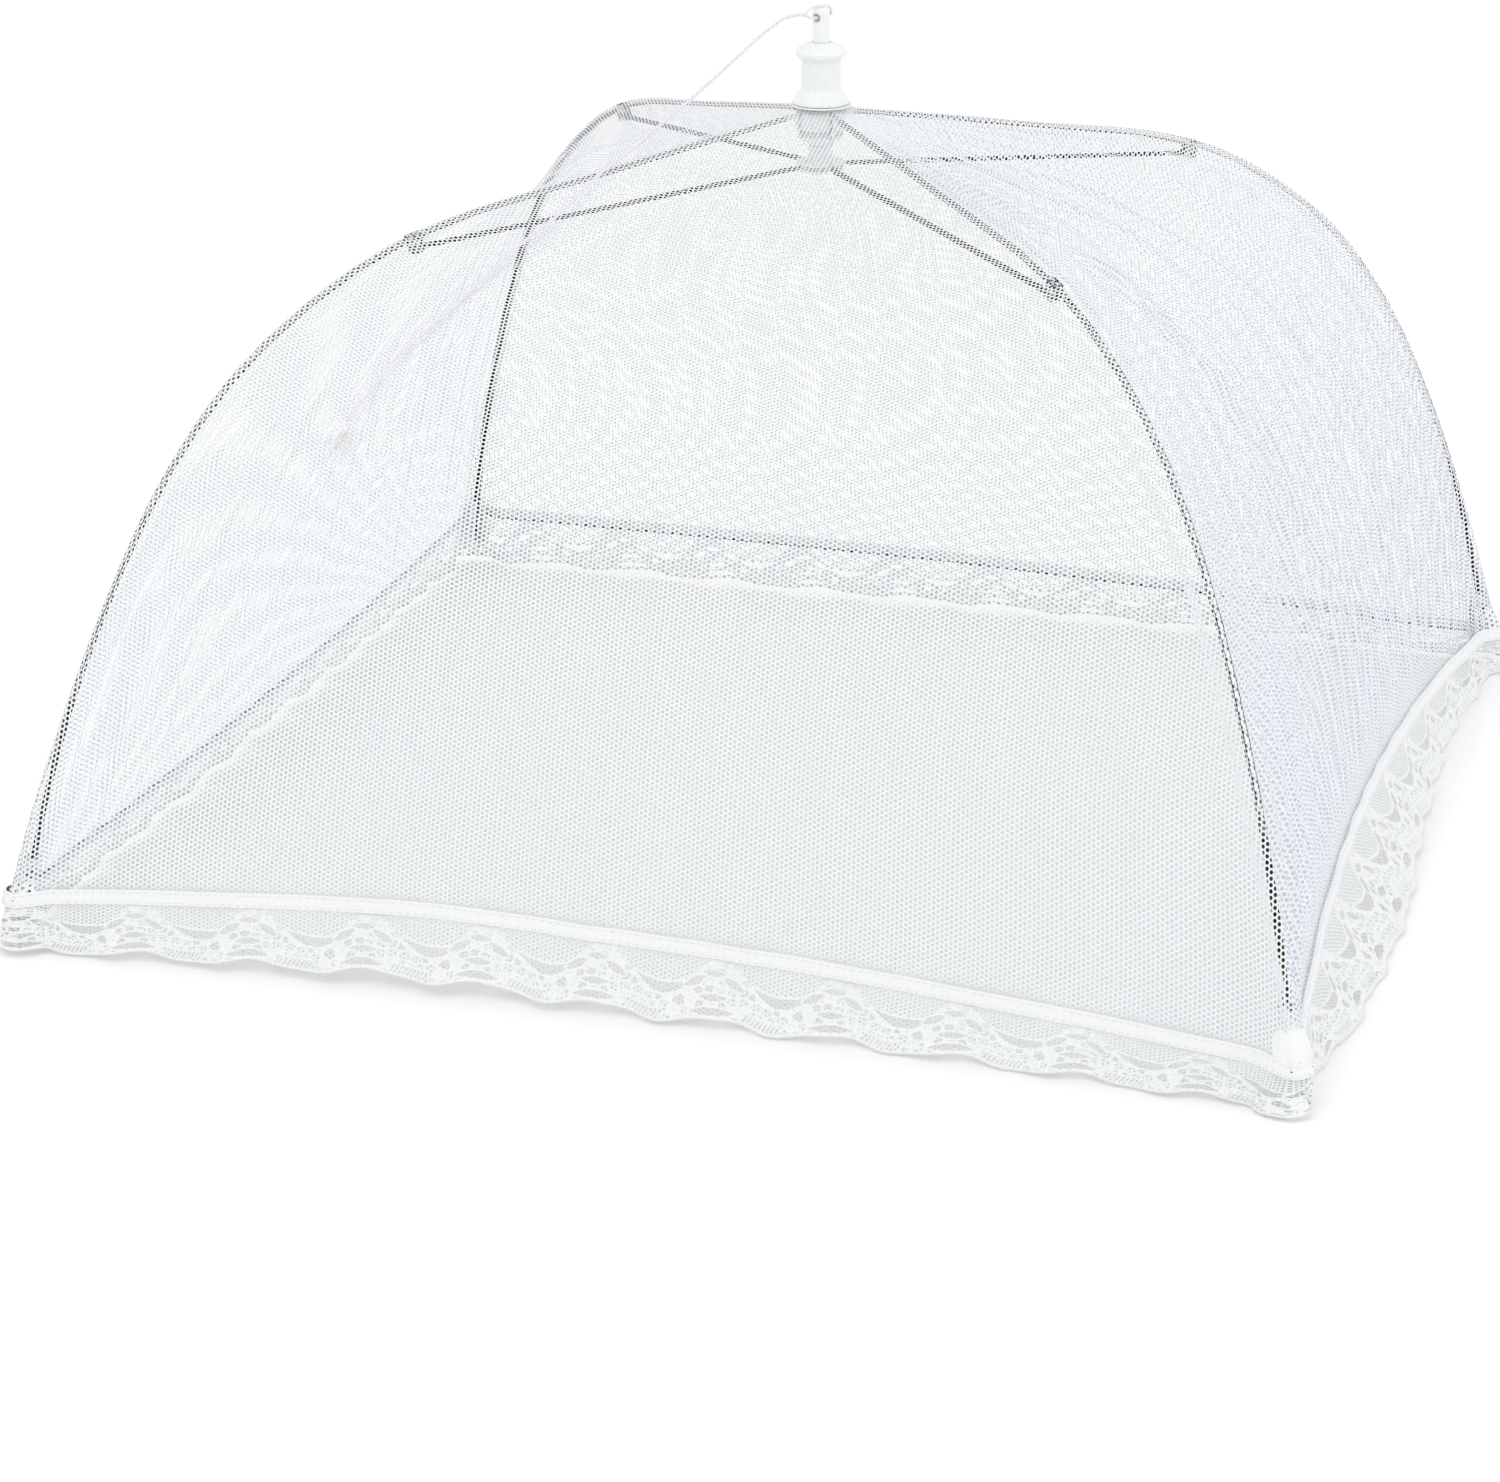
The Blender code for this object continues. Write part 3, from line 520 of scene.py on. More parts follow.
clipSteel = metalMaterial("clipSteel", (0.62, 0.68, 0.72), (0.012, 0.014, 0.02), 0.35)
ringSteel = metalMaterial("ringSteel", (0.70, 0.73, 0.74), (0.50, 0.53, 0.55), 0.35)
# dark wire for the rib tips and their rings, and the painted shadow line along the hem
darkWireAndShadow = metalMaterial("darkWireAndShadow", (0.03, 0.03, 0.05), (0.01, 0.01, 0.015), 0.45)
dullBrass = metalMaterial("dullBrass", (0.45, 0.33, 0.10), (0.16, 0.11, 0.04), 0.35)
print("finishes made")


# carried-over nodes keep their shape and get these finishes

for nodeName, node in cadNodes.items():
    kind = nodeName.split("_")[0]
    finish = {
        "finial": whitePlastic, "plunger": whitePlastic, "crown": milkyPlastic, "runner": milkyPlastic,
        "rib": ribSteel, "strut": strutSteel, "bracket": clipSteel, "rivet": dullBrass, "tip": darkWireAndShadow,
    }.get(kind)
    if nodeName.endswith("wire_ring"):
        finish = ringSteel
    if nodeName == "crown_patch":
        finish = whiteTape
    if finish is not None:
        node.data.materials.clear()
        node.data.materials.append(finish)


# the pull cord: a string doubled through the plunger's eye and twisted

cord = {
    "route": [
        (-0.0055, -0.0055, 0.2892), (-0.0084, -0.0084, 0.2890), (-0.0112, -0.0112, 0.2880),
        (-0.0167, -0.0167, 0.2834), (-0.0222, -0.0222, 0.2779), (-0.0276, -0.0276, 0.2723),
        (-0.0331, -0.0331, 0.2668), (-0.0385, -0.0385, 0.2616), (-0.0439, -0.0440, 0.2565),
        (-0.0490, -0.0494, 0.2516), (-0.0532, -0.0545, 0.2478), (-0.0561, -0.0602, 0.2455),
        (-0.0585, -0.0668, 0.2433), (-0.0603, -0.0725, 0.2410), (-0.0634, -0.0860, 0.2362),
        (-0.0666, -0.0950, 0.2326), (-0.0701, -0.1017, 0.2298), (-0.0771, -0.1135, 0.2228),
        (-0.0849, -0.1258, 0.2140), (-0.0933, -0.1362, 0.2053), (-0.1029, -0.1460, 0.1959),
        (-0.1078, -0.1524, 0.1880), (-0.1124, -0.1572, 0.1818), (-0.1145, -0.1605, 0.1778),
    ],
    "loop": [
        (0.0, 0.0, 0.2878), (-0.00127, -0.00315, 0.2878), (-0.0023, -0.0040, 0.2880),
        (-0.0036, -0.0044, 0.2884), (-0.0043, -0.0043, 0.2890), (-0.0037, -0.0035, 0.2903),
        (-0.0023, -0.0022, 0.2914), (-0.0003, -0.0006, 0.2917), (0.0014, 0.0008, 0.2917),
        (0.0025, 0.0021, 0.2909), (0.0027, 0.0033, 0.2894), (0.0021, 0.0038, 0.2882),
        (0.00135, 0.00334, 0.2878), (0.00067, 0.00167, 0.2878),
    ],
    "start": (-0.0045, -0.0045, 0.28865), "length": 0.235, "diameter": 0.0014,
    "strandRadius": 0.00039, "strandOffset": 0.00031, "twistPitch": 0.0042, "loopRadius": 0.00052,
    "knot": (-0.1160, -0.1636, 0.1758), "knotRadius": 0.0016, "knotYarn": 0.00058,
    "frayThreads": 30, "frayYarn": 0.00010,
}


def twistedStrands(line, offset, pitch, count=2):
    # strands wound round a line
    tangent = np.gradient(line, axis=0)
    tangent /= np.linalg.norm(tangent, axis=1)[:, None]
    along = lengthAlong(line)
    side = np.cross(tangent, (0.0, 0.0, 1.0))
    side /= np.linalg.norm(side, axis=1)[:, None]
    up = np.cross(side, tangent)
    strands = []
    for k in range(count):
        turn = 2 * math.pi * (along / pitch + k / count)
        strands.append(line + offset * (side * np.cos(turn)[:, None] + up * np.sin(turn)[:, None]))
    return strands


cordLine, cordAlong = evenLine(smoothLine([cord["start"], *cord["route"]], 8), 0.0006)
strands = twistedStrands(cordLine, cord["strandOffset"], cord["twistPitch"])
pullCord = tubePiece("pull_cord_twist", strands, cord["strandRadius"], cottonYarn)
loopLine, _ = evenLine(smoothLine([*cord["loop"], cord["loop"][0]], 8), 0.0005)
cordLoop = tubePiece("cord_loop_strand", [loopLine[:-1]], cord["loopRadius"], cottonYarn, closed=True)
print("cord made,", round(float(cordAlong[-1]), 4), "m long")


# shape of the cover: seams over the ribs, net sagging between them, and the hem

shape = {
    "liftTop": 0.0013, "liftLow": 0.0016,
    "topRho": 0.0086, "topHeight": 0.2566, "topSlope": 0.16,
    "sag": 0.013, "hemRise": 0.006, "hemHalf": 0.2165, "hemHeight": 0.018, "hemWidth": 0.008,
    "cornerRadius": 0.0060, "bendFrom": 0.2035, "bendPoint": (0.2095, -0.2180), "tapeWidth": 0.0046,
    "netInside": 0.0005, "joinFrom": 0.80, "blendSpan": 0.152,
    # how far the hem rises or droops at places along each side
    "hemLift": {
        "front": ((-0.22, -0.0009), (-0.17, 0.0), (-0.12, 0.0010), (-0.085, 0.0019), (-0.05, 0.0010),
                  (-0.02, -0.0006), (0.02, -0.0016), (0.06, -0.0024), (0.10, -0.0036), (0.14, -0.0043),
                  (0.18, -0.0045), (0.22, -0.0050)),
        "right": ((-0.22, -0.0050), (-0.12, -0.0022), (0.0, 0.0), (0.12, -0.0018), (0.22, -0.0050)),
        "back": ((-0.22, -0.0050), (-0.10, 0.0), (0.0, 0.0030), (0.22, 0.0055)),
        "left": ((-0.22, 0.0055), (-0.10, 0.0045), (0.0, 0.0030), (0.12, 0.0010), (0.22, -0.0009)),
    },
}


def seamTable():
    line = np.array(smoothLine(ribLine, 16))
    middle = (line[1:] + line[:-1]) / 2
    step = np.diff(line, axis=0)
    slope = np.arctan2(-step[:, 1], step[:, 0])
    lift = shape["liftTop"] + (shape["liftLow"] - shape["liftTop"]) * smoothShare(middle[:, 0], 0.085, 0.13)
    rho = middle[:, 0] + lift * np.sin(slope)
    height = middle[:, 1] + lift * np.cos(slope)
    table = np.stack([rho, height, slope], 1)
    table = table[(rho > 0.012) & (height > shape["hemHeight"] + shape["hemWidth"] / 2 + 0.0004)]
    table = np.vstack([[shape["topRho"], shape["topHeight"], shape["topSlope"]], table])
    return table, lengthAlong(table[:, :2])


seam, seamAlong = seamTable()


def hemTable():
    # plan of half a side, from its middle to the corner, where the cloth goes round the rib's tip
    tip = ribLine[-1][0] / math.sqrt(2)
    across = np.linspace(0.0, shape["bendFrom"], 12)
    control = [(x, -hemDepth(x)) for x in across]
    control.append(shape["bendPoint"])
    for degrees in (272, 287, 301, 315):
        a = math.radians(degrees)
        control.append((tip + shape["cornerRadius"] * math.cos(a), -tip + shape["cornerRadius"] * math.sin(a)))
    line, along = evenLine(smoothLine(control, 10), 0.0008)
    line[-1] = control[-1]
    return line, along


def hemDepth(x):
    return shape["hemHalf"] - shape["sag"] * (1 - (x / shape["hemHalf"]) ** 2)


hemPlan, hemAlong = hemTable()
hemHalfLength = float(hemAlong[-1])


def hemLiftAt(side, along):
    return tableAt(shape["hemLift"][side], along)


def hemLine(side, along):
    # points of the hem's centreline, as if the side faced the front, and the way out from it
    hand = np.sign(along) + (along == 0)
    far = np.abs(along)
    slope = np.gradient(hemPlan, axis=0)
    slope /= np.linalg.norm(slope, axis=1)[:, None]
    x, y, outX, outY = (np.interp(far, hemAlong, part) for part in (*hemPlan.T, slope[:, 1], -slope[:, 0]))
    size = np.hypot(outX, outY)
    z = shape["hemHeight"] + shape["hemRise"] * np.clip(1 - (x / shape["hemHalf"]) ** 2, 0.0, 1.0)
    z = z + hemLiftAt(side, along)
    return np.stack([hand * x, y, z], 1), np.stack([hand * outX / size, outY / size, 0 * z], 1)


def netBase(s, t):
    # the net of the front side, s from its left seam to its right one and t from crown to hem
    want = t * seamAlong[-1]
    rho, height, slope = (np.interp(want, seamAlong, seam[:, i]) for i in range(3))
    half = rho / math.sqrt(2)
    bow = 4 * s * (1 - s)
    steep = np.arctan(math.sqrt(2) * np.tan(slope))
    sag = shape["sag"] * np.minimum(1.0, t / 0.4) ** 1.2 * bow
    rise = 1.4 * shape["hemRise"] * t ** 6 * bow
    points = np.stack([(2 * s - 1) * half, sag * np.sin(steep) - half, height - sag * np.cos(steep) + rise], 1)
    outward = np.stack([0 * s, -np.sin(steep), np.cos(steep)], 1)
    return points, outward


# creases: waves that fan out from the crown, gathers above the hem and single folds, in metres

creases = {
    "front": {"fan": 0.00035, "gather": 0.00035, "waves": (7, 11, 17), "folds": [
        (0.30, 0.10, 0.10, 0.62, 0.0010, 0.010), (0.62, 0.08, 0.74, 0.50, 0.0008, 0.009),
    ]},
    "right": {"fan": 0.0010, "gather": 0.0015, "waves": (13, 19, 31), "folds": [
        (0.22, 0.30, 0.52, 0.86, 0.0034, 0.007), (0.40, 0.12, 0.62, 0.62, 0.0026, 0.007),
        (0.58, 0.22, 0.74, 0.80, 0.0028, 0.006), (0.16, 0.10, 0.30, 0.46, 0.0024, 0.007),
        (0.82, 0.34, 0.70, 0.92, 0.0024, 0.006), (0.34, 0.40, 0.40, 0.90, 0.0030, 0.006),
    ]},
    "back": {"fan": 0.00045, "gather": 0.0006, "waves": (9, 14, 23), "folds": [
        (0.40, 0.10, 0.28, 0.60, 0.0012, 0.010), (0.66, 0.15, 0.78, 0.72, 0.0012, 0.009),
    ]},
    "left": {"fan": 0.00045, "gather": 0.0007, "waves": (11, 16, 25), "folds": [
        (0.35, 0.12, 0.22, 0.66, 0.0014, 0.009), (0.60, 0.20, 0.70, 0.78, 0.0014, 0.009),
    ]},
}
panelSpan = (0.43, 0.33)


def creaseHeight(side, s, t):
    look = creases[side]
    fan = sum(np.sin(2 * math.pi * n * s + 1.7 * n) / (1 + i) for i, n in enumerate(look["waves"]))
    wander = s + 0.012 * np.sin(5.1 * t + 9 * s)
    gathers = sum(np.sin(2 * math.pi * (2.1 * n) * wander + 0.9 * n) / (1 + 0.5 * i)
                  for i, n in enumerate(look["waves"]))
    height = look["fan"] * fan * smoothShare(t, 0.02, 0.2) * (1 - smoothShare(t, 0.45, 0.9))
    height += look["gather"] * gathers * smoothShare(t, 0.30, 0.85)
    for s0, t0, s1, t1, tall, wide in look["folds"]:
        run = np.array([(s1 - s0) * panelSpan[0], (t1 - t0) * panelSpan[1]])
        length = np.linalg.norm(run)
        fromStart = np.stack([(s - s0) * panelSpan[0], (t - t0) * panelSpan[1]], 1)
        along = fromStart @ run / length ** 2
        away = (fromStart @ np.array([-run[1], run[0]])) / length
        ends = smoothShare(along, -0.15, 0.2) * (1 - smoothShare(along, 0.75, 1.1))
        height += tall * np.exp(-(away / (wide / 2)) ** 2) * ends
    edge = smoothShare(s, 0.0, 0.035) * smoothShare(1 - s, 0.0, 0.035)
    return height * edge * smoothShare(t, 0.0, 0.04) * (1 - smoothShare(t, 0.93, 1.0))


def clothPoint(side, s, t, lift=0.0):
    # the net as it hangs: its lower edge is brought in behind the hem tape
    points, outward = netBase(s, t)
    hemPoints, hemOut = hemLine(side, (2 * s - 1) * hemHalfLength)
    lower, _ = netBase(s, np.ones_like(s))
    target = hemPoints - shape["netInside"] * hemOut
    share = smoothShare(t, shape["joinFrom"], 1.0)[:, None]
    points = points + (target - lower) * share
    return points + outward * (creaseHeight(side, s, t) + lift)[:, None]


def blendToRib(piece):
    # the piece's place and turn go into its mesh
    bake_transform(piece)


def halfShare(half, a):
    return 0.5 * a if half == "left" else 0.5 + 0.5 * a


def halfAlong(half, a):
    # distance along the hem from the middle of its side
    return (2 * halfShare(half, a) - 1) * hemHalfLength


# net

net = {"columns": 150, "rows": 116, "flat": (0.216, 0.335), "area": 0.0385}


def netHalf(side, half):
    def place(a, b):
        s = halfShare(half, a)
        points = clothPoint(side, s, b)
        rho = np.interp(b * seamAlong[-1], seamAlong, seam[:, 0])
        flat = np.stack([(2 * s - 1) * rho / math.sqrt(2), -b * seamAlong[-1]], 1)
        return points, flat, None

    # the side panels take the net with painted bluish shade
    cloth = shadeTintNet if side in ("left", "right") else whiteNet
    piece = gridSheet(f"net_{side}_{half}", net["columns"], net["rows"], place, cloth, sides[side])
    blendToRib(piece)
    return piece


# hem tape, with its stitches

tape = {"thick": 0.0007, "wave": 0.00025, "waveShort": 0.0061, "waveLong": 0.043, "lean": 0.32,
        "columns": 140, "rows": 5, "stitchPitch": 0.0027, "stitchLength": 0.0019,
        "stitchRadius": 0.00018, "stitchInset": 0.0008, "shadowLineRadius": 0.00038,
        # the dark line of painted shadow lies inside the tape, out of sight, where its side isn't listed
        "shadowLineDown": {"back": 0.0044, "left": 0.0004}, "shadowLineInside": 0.0023}


def tapePoint(side, along, down, lift=0.0):
    points, outward = hemLine(side, along)
    wave = tape["wave"] * np.sin(along / tape["waveShort"] + 3 * np.sin(along / tape["waveLong"]))
    out = wave + lift + tape["lean"] * down
    points = points + outward * out[:, None]
    points[:, 2] += shape["hemWidth"] / 2 - down
    return points


def tapeHalf(side, half):
    def place(a, b):
        along = halfAlong(half, a)
        down = b * shape["tapeWidth"]
        return tapePoint(side, along, down), np.stack([along, -down], 1), None

    piece = gridSheet(f"tape_{side}_{half}", tape["columns"], tape["rows"], place, whiteTape, sides[side])
    pick(piece)
    thicken = piece.modifiers.new("thicken", "SOLIDIFY")
    thicken.thickness, thicken.offset = tape["thick"], 0.0
    bpy.ops.object.modifier_apply(modifier=thicken.name)
    piece.data.shade_smooth()
    piece.data.set_sharp_from_angle(angle=math.radians(50))
    blendToRib(piece)
    return piece


def stitchRow(side, half):
    # lockstitches along both edges of the tape
    lines = []
    low, high = halfAlong(half, np.array([0.0, 1.0]))
    count = int((high - low) / tape["stitchPitch"])
    for down in (tape["stitchInset"], shape["tapeWidth"] - tape["stitchInset"]):
        for i in range(count):
            start = low + (i + 0.15) * tape["stitchPitch"]
            along = start + np.linspace(0.0, tape["stitchLength"], 4)
            over = tape["thick"] / 2 + tape["stitchRadius"] * np.array([-0.8, 0.7, 0.7, -0.8])
            lines.append(turnedPoints(tapePoint(side, along, down, over), sides[side]))
    piece = tubePiece(f"stitches_{side}_{half}", lines, tape["stitchRadius"], seamThread, resolution=1)
    blendToRib(piece)
    return piece


def hemShadowLine(side, half):
    # thin dark line just inside the tape: a painted contact shadow along the hem where its side is listed, hidden
    # inside the tape elsewhere
    low, high = halfAlong(half, np.array([0.0, 1.0]))
    along = np.linspace(low, high, 120)
    down = np.full_like(along, tape["shadowLineDown"].get(side, tape["shadowLineInside"]))
    radius, lift = 0.4 * tape["thick"], 0.0
    if side in tape["shadowLineDown"]:
        radius, lift = tape["shadowLineRadius"], -tape["thick"] / 2 - tape["shadowLineRadius"]
    line = turnedPoints(tapePoint(side, along, down, lift), sides[side])
    piece = tubePiece(f"hem_shadow_line_{side}_{half}", [line], radius, darkWireAndShadow, 1)
    blendToRib(piece)
    return piece


# lace frill below the tape

lace = {
    "scallops": 11, "shift": 0.0055, "depth": 0.0225, "scallop": 0.0030, "tuck": 0.0016, "foot": 0.0012,
    "relief": 0.0003, "columns": 520, "rows": 64, "cordRadius": 0.00035,
    "flat": (0.226, 0.0260), "ground": 0.24, "inside": 0.0007, "lowest": 0.0008,
    "cells": (11, 7), "cellTall": 0.0037,
    # by side: size of the ruffles, how straight the lower edge lies, how far it follows the hem's rise
    "ruffle": {"front": 0.0014, "right": 0.0007, "back": 0.0014, "left": 0.0014},
    "even": {"front": 0.0, "right": 0.75, "back": 0.3, "left": 0.3},
    "follow": {"front": 0.9, "right": 0.9, "back": 0.0, "left": 0.0},
    # how far the lower edge stands out, at places along each side
    "flare": {
        "front": ((-0.22, 0.004), (-0.19, 0.004), (-0.10, 0.007), (0.0, 0.009), (0.10, 0.008), (0.20, 0.005)),
        "right": ((-0.22, -0.001), (-0.195, 0.003), (-0.155, 0.014), (-0.10, 0.020), (-0.05, 0.022), (0.0, 0.018),
                  (0.07, 0.012), (0.13, 0.006), (0.22, 0.004)),
        "back": ((-0.22, 0.004), (-0.15, 0.014), (0.0, 0.018), (0.15, 0.014), (0.22, 0.004)),
        "left": ((-0.22, 0.004), (-0.15, 0.013), (0.0, 0.019), (0.15, 0.012), (0.22, 0.003)),
    },
}
scallopPitch = 2 * hemHalfLength / lace["scallops"]


def acrossScallop(along):
    # place along one repeat of the lace, 0 at the lowest point of its scallop
    return ((along - lace["shift"]) / scallopPitch + 0.5) % 1.0 * scallopPitch - scallopPitch / 2


def laceDepth(along):
    swing = 0.5 + 0.5 * np.cos(2 * math.pi * acrossScallop(along) / scallopPitch)
    return lace["depth"] + lace["scallop"] * swing


def lacePoint(side, along, down, lift=0.0):
    points, outward = hemLine(side, along)
    top = points[:, 2] + shape["hemWidth"] / 2 - shape["tapeWidth"]
    reach = lace["depth"] + lace["scallop"]
    share = down / (reach + lace["even"][side] * (laceDepth(along) - reach))
    below = np.clip(share, 0.0, 1.2)
    rise = hemLiftAt(side, along)
    foot = lace["foot"] + 0.25 * (points[:, 2] - rise - shape["hemHeight"]) + lace["follow"][side] * rise
    foot = np.maximum(foot, lace["lowest"])
    phase = 2 * math.pi * acrossScallop(along) / scallopPitch
    fade = smoothShare(hemHalfLength - np.abs(along), 0.0, 0.015)
    wave = np.sin(phase) + 0.6 * np.sin(2 * phase + 0.8 + along / 0.05)
    ruffle = lace["ruffle"][side] * wave * below ** 1.2 * fade
    flare = tableAt(lace["flare"][side], along)
    lean = tape["lean"] * shape["tapeWidth"] * np.clip(1 + down / shape["tapeWidth"], 0.0, 1.0)
    out = -lace["inside"] + lean + flare * below ** 1.3 + ruffle + lift
    points = points + outward * out[:, None]
    points[:, 2] = np.where(share < 0, top - down, top - (top - foot) * below)
    return points


def fancySeeds():
    # centres of the little cells that fill one repeat of the lace
    random.seed(11)
    seeds = []
    columns, rows = lace["cells"]
    for row in range(rows):
        for column in range(columns):
            x = (column + 0.5 * (row % 2) + random.uniform(-0.3, 0.3)) / columns - 0.5
            down = (row + 0.5 + random.uniform(-0.3, 0.3)) * lace["cellTall"]
            seeds.append((x * scallopPitch, down, random.random()))
    return np.array(seeds)


def fancyWork(x, down):
    # curly dense work: thread round every cell, some cells open
    seeds = fancySeeds()
    apart = np.abs(x[:, None] - seeds[None, :, 0])
    apart = np.minimum(apart, scallopPitch - apart)
    far = np.hypot(apart, down[:, None] - seeds[None, :, 1])
    order = np.argpartition(far, 1, axis=1)[:, :2]
    near = np.take_along_axis(far, order, 1)
    edge = near[:, 1] - near[:, 0]
    fill = np.choose((seeds[order[:, 0], 2] * 3).astype(int), (0.02, 0.30, 0.62))
    return np.where(edge < 0.0009, 1.0, fill)


def laceWeave(along, down):
    # how close the threads are at each point of the lace
    x = acrossScallop(along)
    wrapX = x - np.sign(x) * scallopPitch / 2
    fromEdge = laceDepth(along) - down
    swag = 0.0125 - 0.0118 * smoothShare(np.abs(x - 0.0020), 0.0055, 0.0185)
    weave = np.where(down < swag, lace["ground"], fancyWork(x, down))

    def thread(distance, wide, value=1.0):
        return value * (1 - smoothShare(np.abs(distance), wide * 0.5, wide * 0.5 + 0.0003))

    for shift in (0.0, 0.0012):
        weave = np.maximum(weave, thread(down - swag - shift, 0.0005) * (down > 0.0008))
    # crescent under each swag, half moon by the edge between scallops, and leaves beside them
    crescents = (
        (x - 0.0030, down - 0.0136 + 40 * (x - 0.0030) ** 2, 0.0105, 0.0021, 0.0, -0.05),
        (wrapX, fromEdge - 0.0026, 0.0078, 0.0016, 0.0, -0.05),
        (wrapX - 0.0066, down - 0.0098, 0.0046, 0.0016, 0.6, 0.0),
        (wrapX + 0.0066, down - 0.0098, 0.0046, 0.0016, -0.6, 0.0),
        (wrapX, down - 0.0060, 0.0040, 0.0014, 0.0, 0.0),
        (wrapX, down - 0.0150, 0.0052, 0.0014, 0.0, 0.0),
    )
    for leafX, leafY, half, tall, tilt, inside in crescents:
        u = leafX * math.cos(tilt) + leafY * math.sin(tilt)
        v = leafY * math.cos(tilt) - leafX * math.sin(tilt)
        bulge = tall * np.clip(1 - (u / half) ** 2, 0.02, 1.0)
        away = np.where(np.abs(u) < half, np.abs(v) - bulge, 0.01)
        weave = np.where(away < 0, inside, weave)
        weave = np.maximum(weave, thread(away - 0.0003, 0.0006))
    ladder = smoothShare(np.sin(2 * math.pi * (along - 0.5 * fromEdge) / 0.0015), -0.3, 0.4)
    band = (np.abs(x + 0.0030) < 0.0068) & (fromEdge > 0.0008) & (fromEdge < 0.0044)
    weave = np.where(band, 0.05 + 0.95 * ladder, weave)
    weave = np.maximum(weave, thread(fromEdge - 0.0046, 0.0006) * (np.abs(x + 0.0030) < 0.0072))
    weave = np.maximum(weave, 1 - smoothShare(fromEdge, 0.0006, 0.0010))
    return np.maximum(weave, 0.9 * (1 - smoothShare(down, 0.0002, 0.0008)))


def laceHalf(side, half):
    def place(a, b):
        along = halfAlong(half, a)
        down = -lace["tuck"] + (laceDepth(along) + lace["tuck"]) * b
        weave = laceWeave(along, down)
        points = lacePoint(side, along, down, lace["relief"] * smoothShare(weave, 0.4, 0.9))
        return points, np.stack([along, -down], 1), weave

    piece = gridSheet(f"lace_{side}_{half}", lace["columns"], lace["rows"], place, whiteLace, sides[side], "weave")
    blendToRib(piece)
    return piece


def laceEdge(side, half):
    low, high = halfAlong(half, np.array([0.0, 1.0]))
    along = np.linspace(low, high, 260)
    line = turnedPoints(lacePoint(side, along, laceDepth(along)), sides[side])
    piece = tubePiece(f"lace_edge_{side}_{half}", [line], lace["cordRadius"], seamThread, resolution=1)
    blendToRib(piece)
    return piece


# seam allowance: a denser band of net beside each rib

binding = {
    "wide": 0.0030, "columns": 3, "rows": 150, "under": -0.00035,
    # how far the band lies from the rib, at shares of the way from crown to hem
    "off": {
        "front": ((0.46, 0.0105), (0.56, 0.0095), (0.66, 0.0060), (0.76, 0.0052), (0.86, 0.0042), (0.94, 0.0022),
                  (0.985, 0.0012)),
        "others": ((0.10, 0.0013), (0.985, 0.0013)),
    },
}


def seamBinding(side):
    off = binding["off"].get(side, binding["off"]["others"])

    def place(a, b):
        t = off[0][0] + (off[-1][0] - off[0][0]) * b
        rho = np.interp(t * seamAlong[-1], seamAlong, seam[:, 0])
        wide = binding["wide"] * smoothShare(b, 0.0, 0.12)
        s = 1 - (tableAt(off, t) + wide * (1 - a)) / (rho * math.sqrt(2))
        points = clothPoint(side, s, t, binding["under"])
        return points, np.stack([a * binding["wide"], -t * seamAlong[-1]], 1), None

    piece = gridSheet(f"seam_band_{side}", binding["columns"], binding["rows"], place, seamNet, sides[side])
    blendToRib(piece)
    return piece


# pockets round the rib tips

pocket = {"radius": 0.0060, "neck": 0.0032, "low": 0.0080, "high": 0.0320, "open": 20, "tuck": 0.0012,
          "pleat": 0.0003, "columns": 56, "rows": 22}
tip = {"ring": 0.0021, "wire": 0.0007, "height": 0.0150}


def cornerPocket(corner):
    # sleeve of dense net that follows the rib down and widens under the hem
    ribRho, ribHeight = np.array(smoothLine(ribLine, 16)).T

    def place(a, b):
        turn = np.radians(pocket["open"] + (360 - 2 * pocket["open"]) * a) + math.pi
        z = pocket["high"] - (pocket["high"] - pocket["low"]) * b
        middle = np.interp(-z, -ribHeight, ribRho)
        wide = pocket["neck"] + (pocket["radius"] - pocket["neck"]) * smoothShare(b, 0.05, 0.55)
        wide = wide - pocket["tuck"] * smoothShare(b, 0.75, 1.0)
        radius = wide + pocket["pleat"] * np.sin(9 * turn) * smoothShare(b, 0.1, 0.6)
        points = np.stack([middle + radius * np.cos(turn), radius * np.sin(turn), z], 1)
        return points, np.stack([a * 0.02, -b * 0.02], 1), None

    cloth = whiteTape if corner == "front_right" else pocketNet
    piece = gridSheet(f"pocket_{corner}", pocket["columns"], pocket["rows"], place, cloth, corners[corner])
    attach(piece, "rib_" + corner)
    return piece


def tipRing(corner):
    # small dark ring through the eyelet at the rib's tip
    clearSelection()
    bpy.ops.mesh.primitive_torus_add(
        major_radius=tip["ring"], minor_radius=tip["wire"], major_segments=32, minor_segments=10,
        location=(ribLine[-1][0], 0.0, tip["height"]), rotation=(math.radians(80), 0.0, math.radians(20)))
    piece = named(bpy.context.object, f"tip_ring_{corner}", darkWireAndShadow)
    # its place and turn go into the mesh, so that the object sits at the origin
    bpy.ops.object.transform_apply(location=True, rotation=True, scale=True)
    bpy.ops.object.mode_set(mode="EDIT")
    bpy.ops.mesh.select_all(action="SELECT")
    bpy.ops.transform.rotate(value=-math.radians(corners[corner]), orient_axis="Z", center_override=(0, 0, 0))
    bpy.ops.object.mode_set(mode="OBJECT")
    piece.data.shade_smooth()
    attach(piece, "rib_" + corner)


